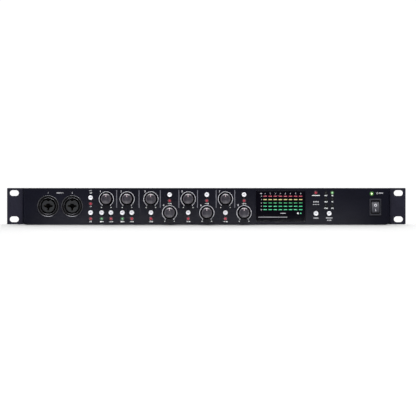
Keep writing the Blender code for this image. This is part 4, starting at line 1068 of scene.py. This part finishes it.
def socket_meshes():
    """The pieces of one socket, facing local +Z, each with its finish."""
    ring = turned("socket_ring", ring_profile(0.01220, 0.01300, 0.0007, -0.0090), 80)
    collar = turned("socket_collar", [(0.01010, -0.0006), (0.01220, -0.0006), (0.01220, -0.0100),
                                      (0.01010, -0.0100), (0.01010, -0.0006)], 72)
    lip = turned("socket_lip", ring_profile(0.00970, 0.01015, 0.0001, -0.0040), 72)
    well = turned("socket_well", [(0.00968, -0.0004), (0.00968, -0.0122), (0.0, -0.0122),
                                  (0.0, -0.0118), (0.0094, -0.0118), (0.0094, -0.0004),
                                  (0.00968, -0.0004)], 72)
    disc = flat_mesh("socket_disc", [disc_outline(), star_outline()], 0.0084, 0.0003)
    disc.transform(Matrix.Translation((0, 0, -0.0009 - 0.0042)))
    latch = soft_block((-0.0016, 0.0080, -0.0040), (0.0016, 0.0094, -0.0010), 0.0003, 2)
    body = soft_block((-0.0125, -0.0140, -0.0310), (0.0125, 0.0140, -0.0123), 0.0010, 3)
    contacts = []
    for x, y in ((-0.0042, 0.0), (0.0042, 0.0), (0.0, -0.0044)):
        contact = turned("contact", [(0.0005, -0.0108), (0.0008, -0.0108), (0.0008, -0.0117),
                                     (0.0005, -0.0117), (0.0005, -0.0108)], 16)
        contact.transform(Matrix.Translation((x, y, 0)))
        contacts.append(contact)
    # The collar, well and latch take the recess finish, painted shade darker than the plastic of
    # the body.
    return {"ring": (ring, "ring"), "collar": (collar, "recess"), "lip": (lip, "ring"),
            "well": (well, "recess"), "disc": (disc, "disc"), "latch": (latch, "recess"),
            "body": (body, "plastic"), "contacts": (joined("contacts", contacts), "contact")}


def make_combo_sockets():
    kit = socket_meshes()
    for number in CHANNELS:
        node = f"combo_socket_{number}"
        low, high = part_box(node)
        front = number <= len(FRONT_SOCKETS)
        at = ((low.x + high.x) / 2, low.y if front else high.y, middle(node).z)
        for part, (mesh, finish) in kit.items():
            item = piece(f"socket_{number}_{part}", mesh, finish, place=at,
                         turn=FACING_FRONT if front else FACING_REAR)
            if part == "body":
                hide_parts(node)


def make_rear_fittings():
    nut = turned("jack_nut", [(0.0036, 0.0030), (0.0046, 0.0030), (0.0048, 0.0027),
                              (0.0048, 0.0019), (0.0062, 0.0017), (0.0066, 0.0013),
                              (0.0066, 0.0003), (0.0036, 0.0003), (0.0036, 0.0030)], 36)
    for number, (x, z) in enumerate(output_places(), 1):
        piece(f"output_nut_{number}", nut, "nickel", place=(x, REAR_Y, z), turn=FACING_REAR)
    marks = [letter_mesh(str(number), 0.0022, (-place.x, place.z + 0.0163))
             for number, place in enumerate(REAR_SOCKETS, 3)]
    for number, (x, z) in enumerate(output_places(), 1):
        away = 0.0091 if z > middle("rear_panel").z else -0.0088
        marks.append(letter_mesh(str(number), 0.0020, (-x, z + away)))
    piece("rear_numbers", joined("rear_numbers", marks), "ink_soft",
          place=(0, REAR_Y + INK_RISE / 2, 0), turn=FACING_REAR)


def finish_carried_nodes():
    """The model's own pieces that are shown as they are get a procedural finish."""
    plan = {"control_board": "board", "main_board": "board",
            "power_supply_board": "tan_board", "transformer": "core",
            "ribbon_cable": "ribbon", "mains_harness": "sleeve", "word_clock_jack": "nickel",
            "mains_inlet": "plastic", "optical_ports": "plastic",
            "output_jacks_lower": "plastic", "output_jacks_upper": "plastic"}
    plan.update({f"pot_shaft_{i}": "shaft" for i in CHANNELS})
    for node, finish in plan.items():
        for slot in frame["nodes"][node].material_slots:
            slot.material = MATERIALS[finish]


make_camera()
make_floor()
make_backdrop()
make_lights()
MATERIALS = make_materials()
SCREW = screw_mesh()
make_fascia()
make_ears()
make_cover()
make_tray()
make_panels()
make_knobs()
make_buttons()
make_leds()
make_printing()
make_meter()
make_switch()
make_combo_sockets()
make_rear_fittings()
finish_carried_nodes()
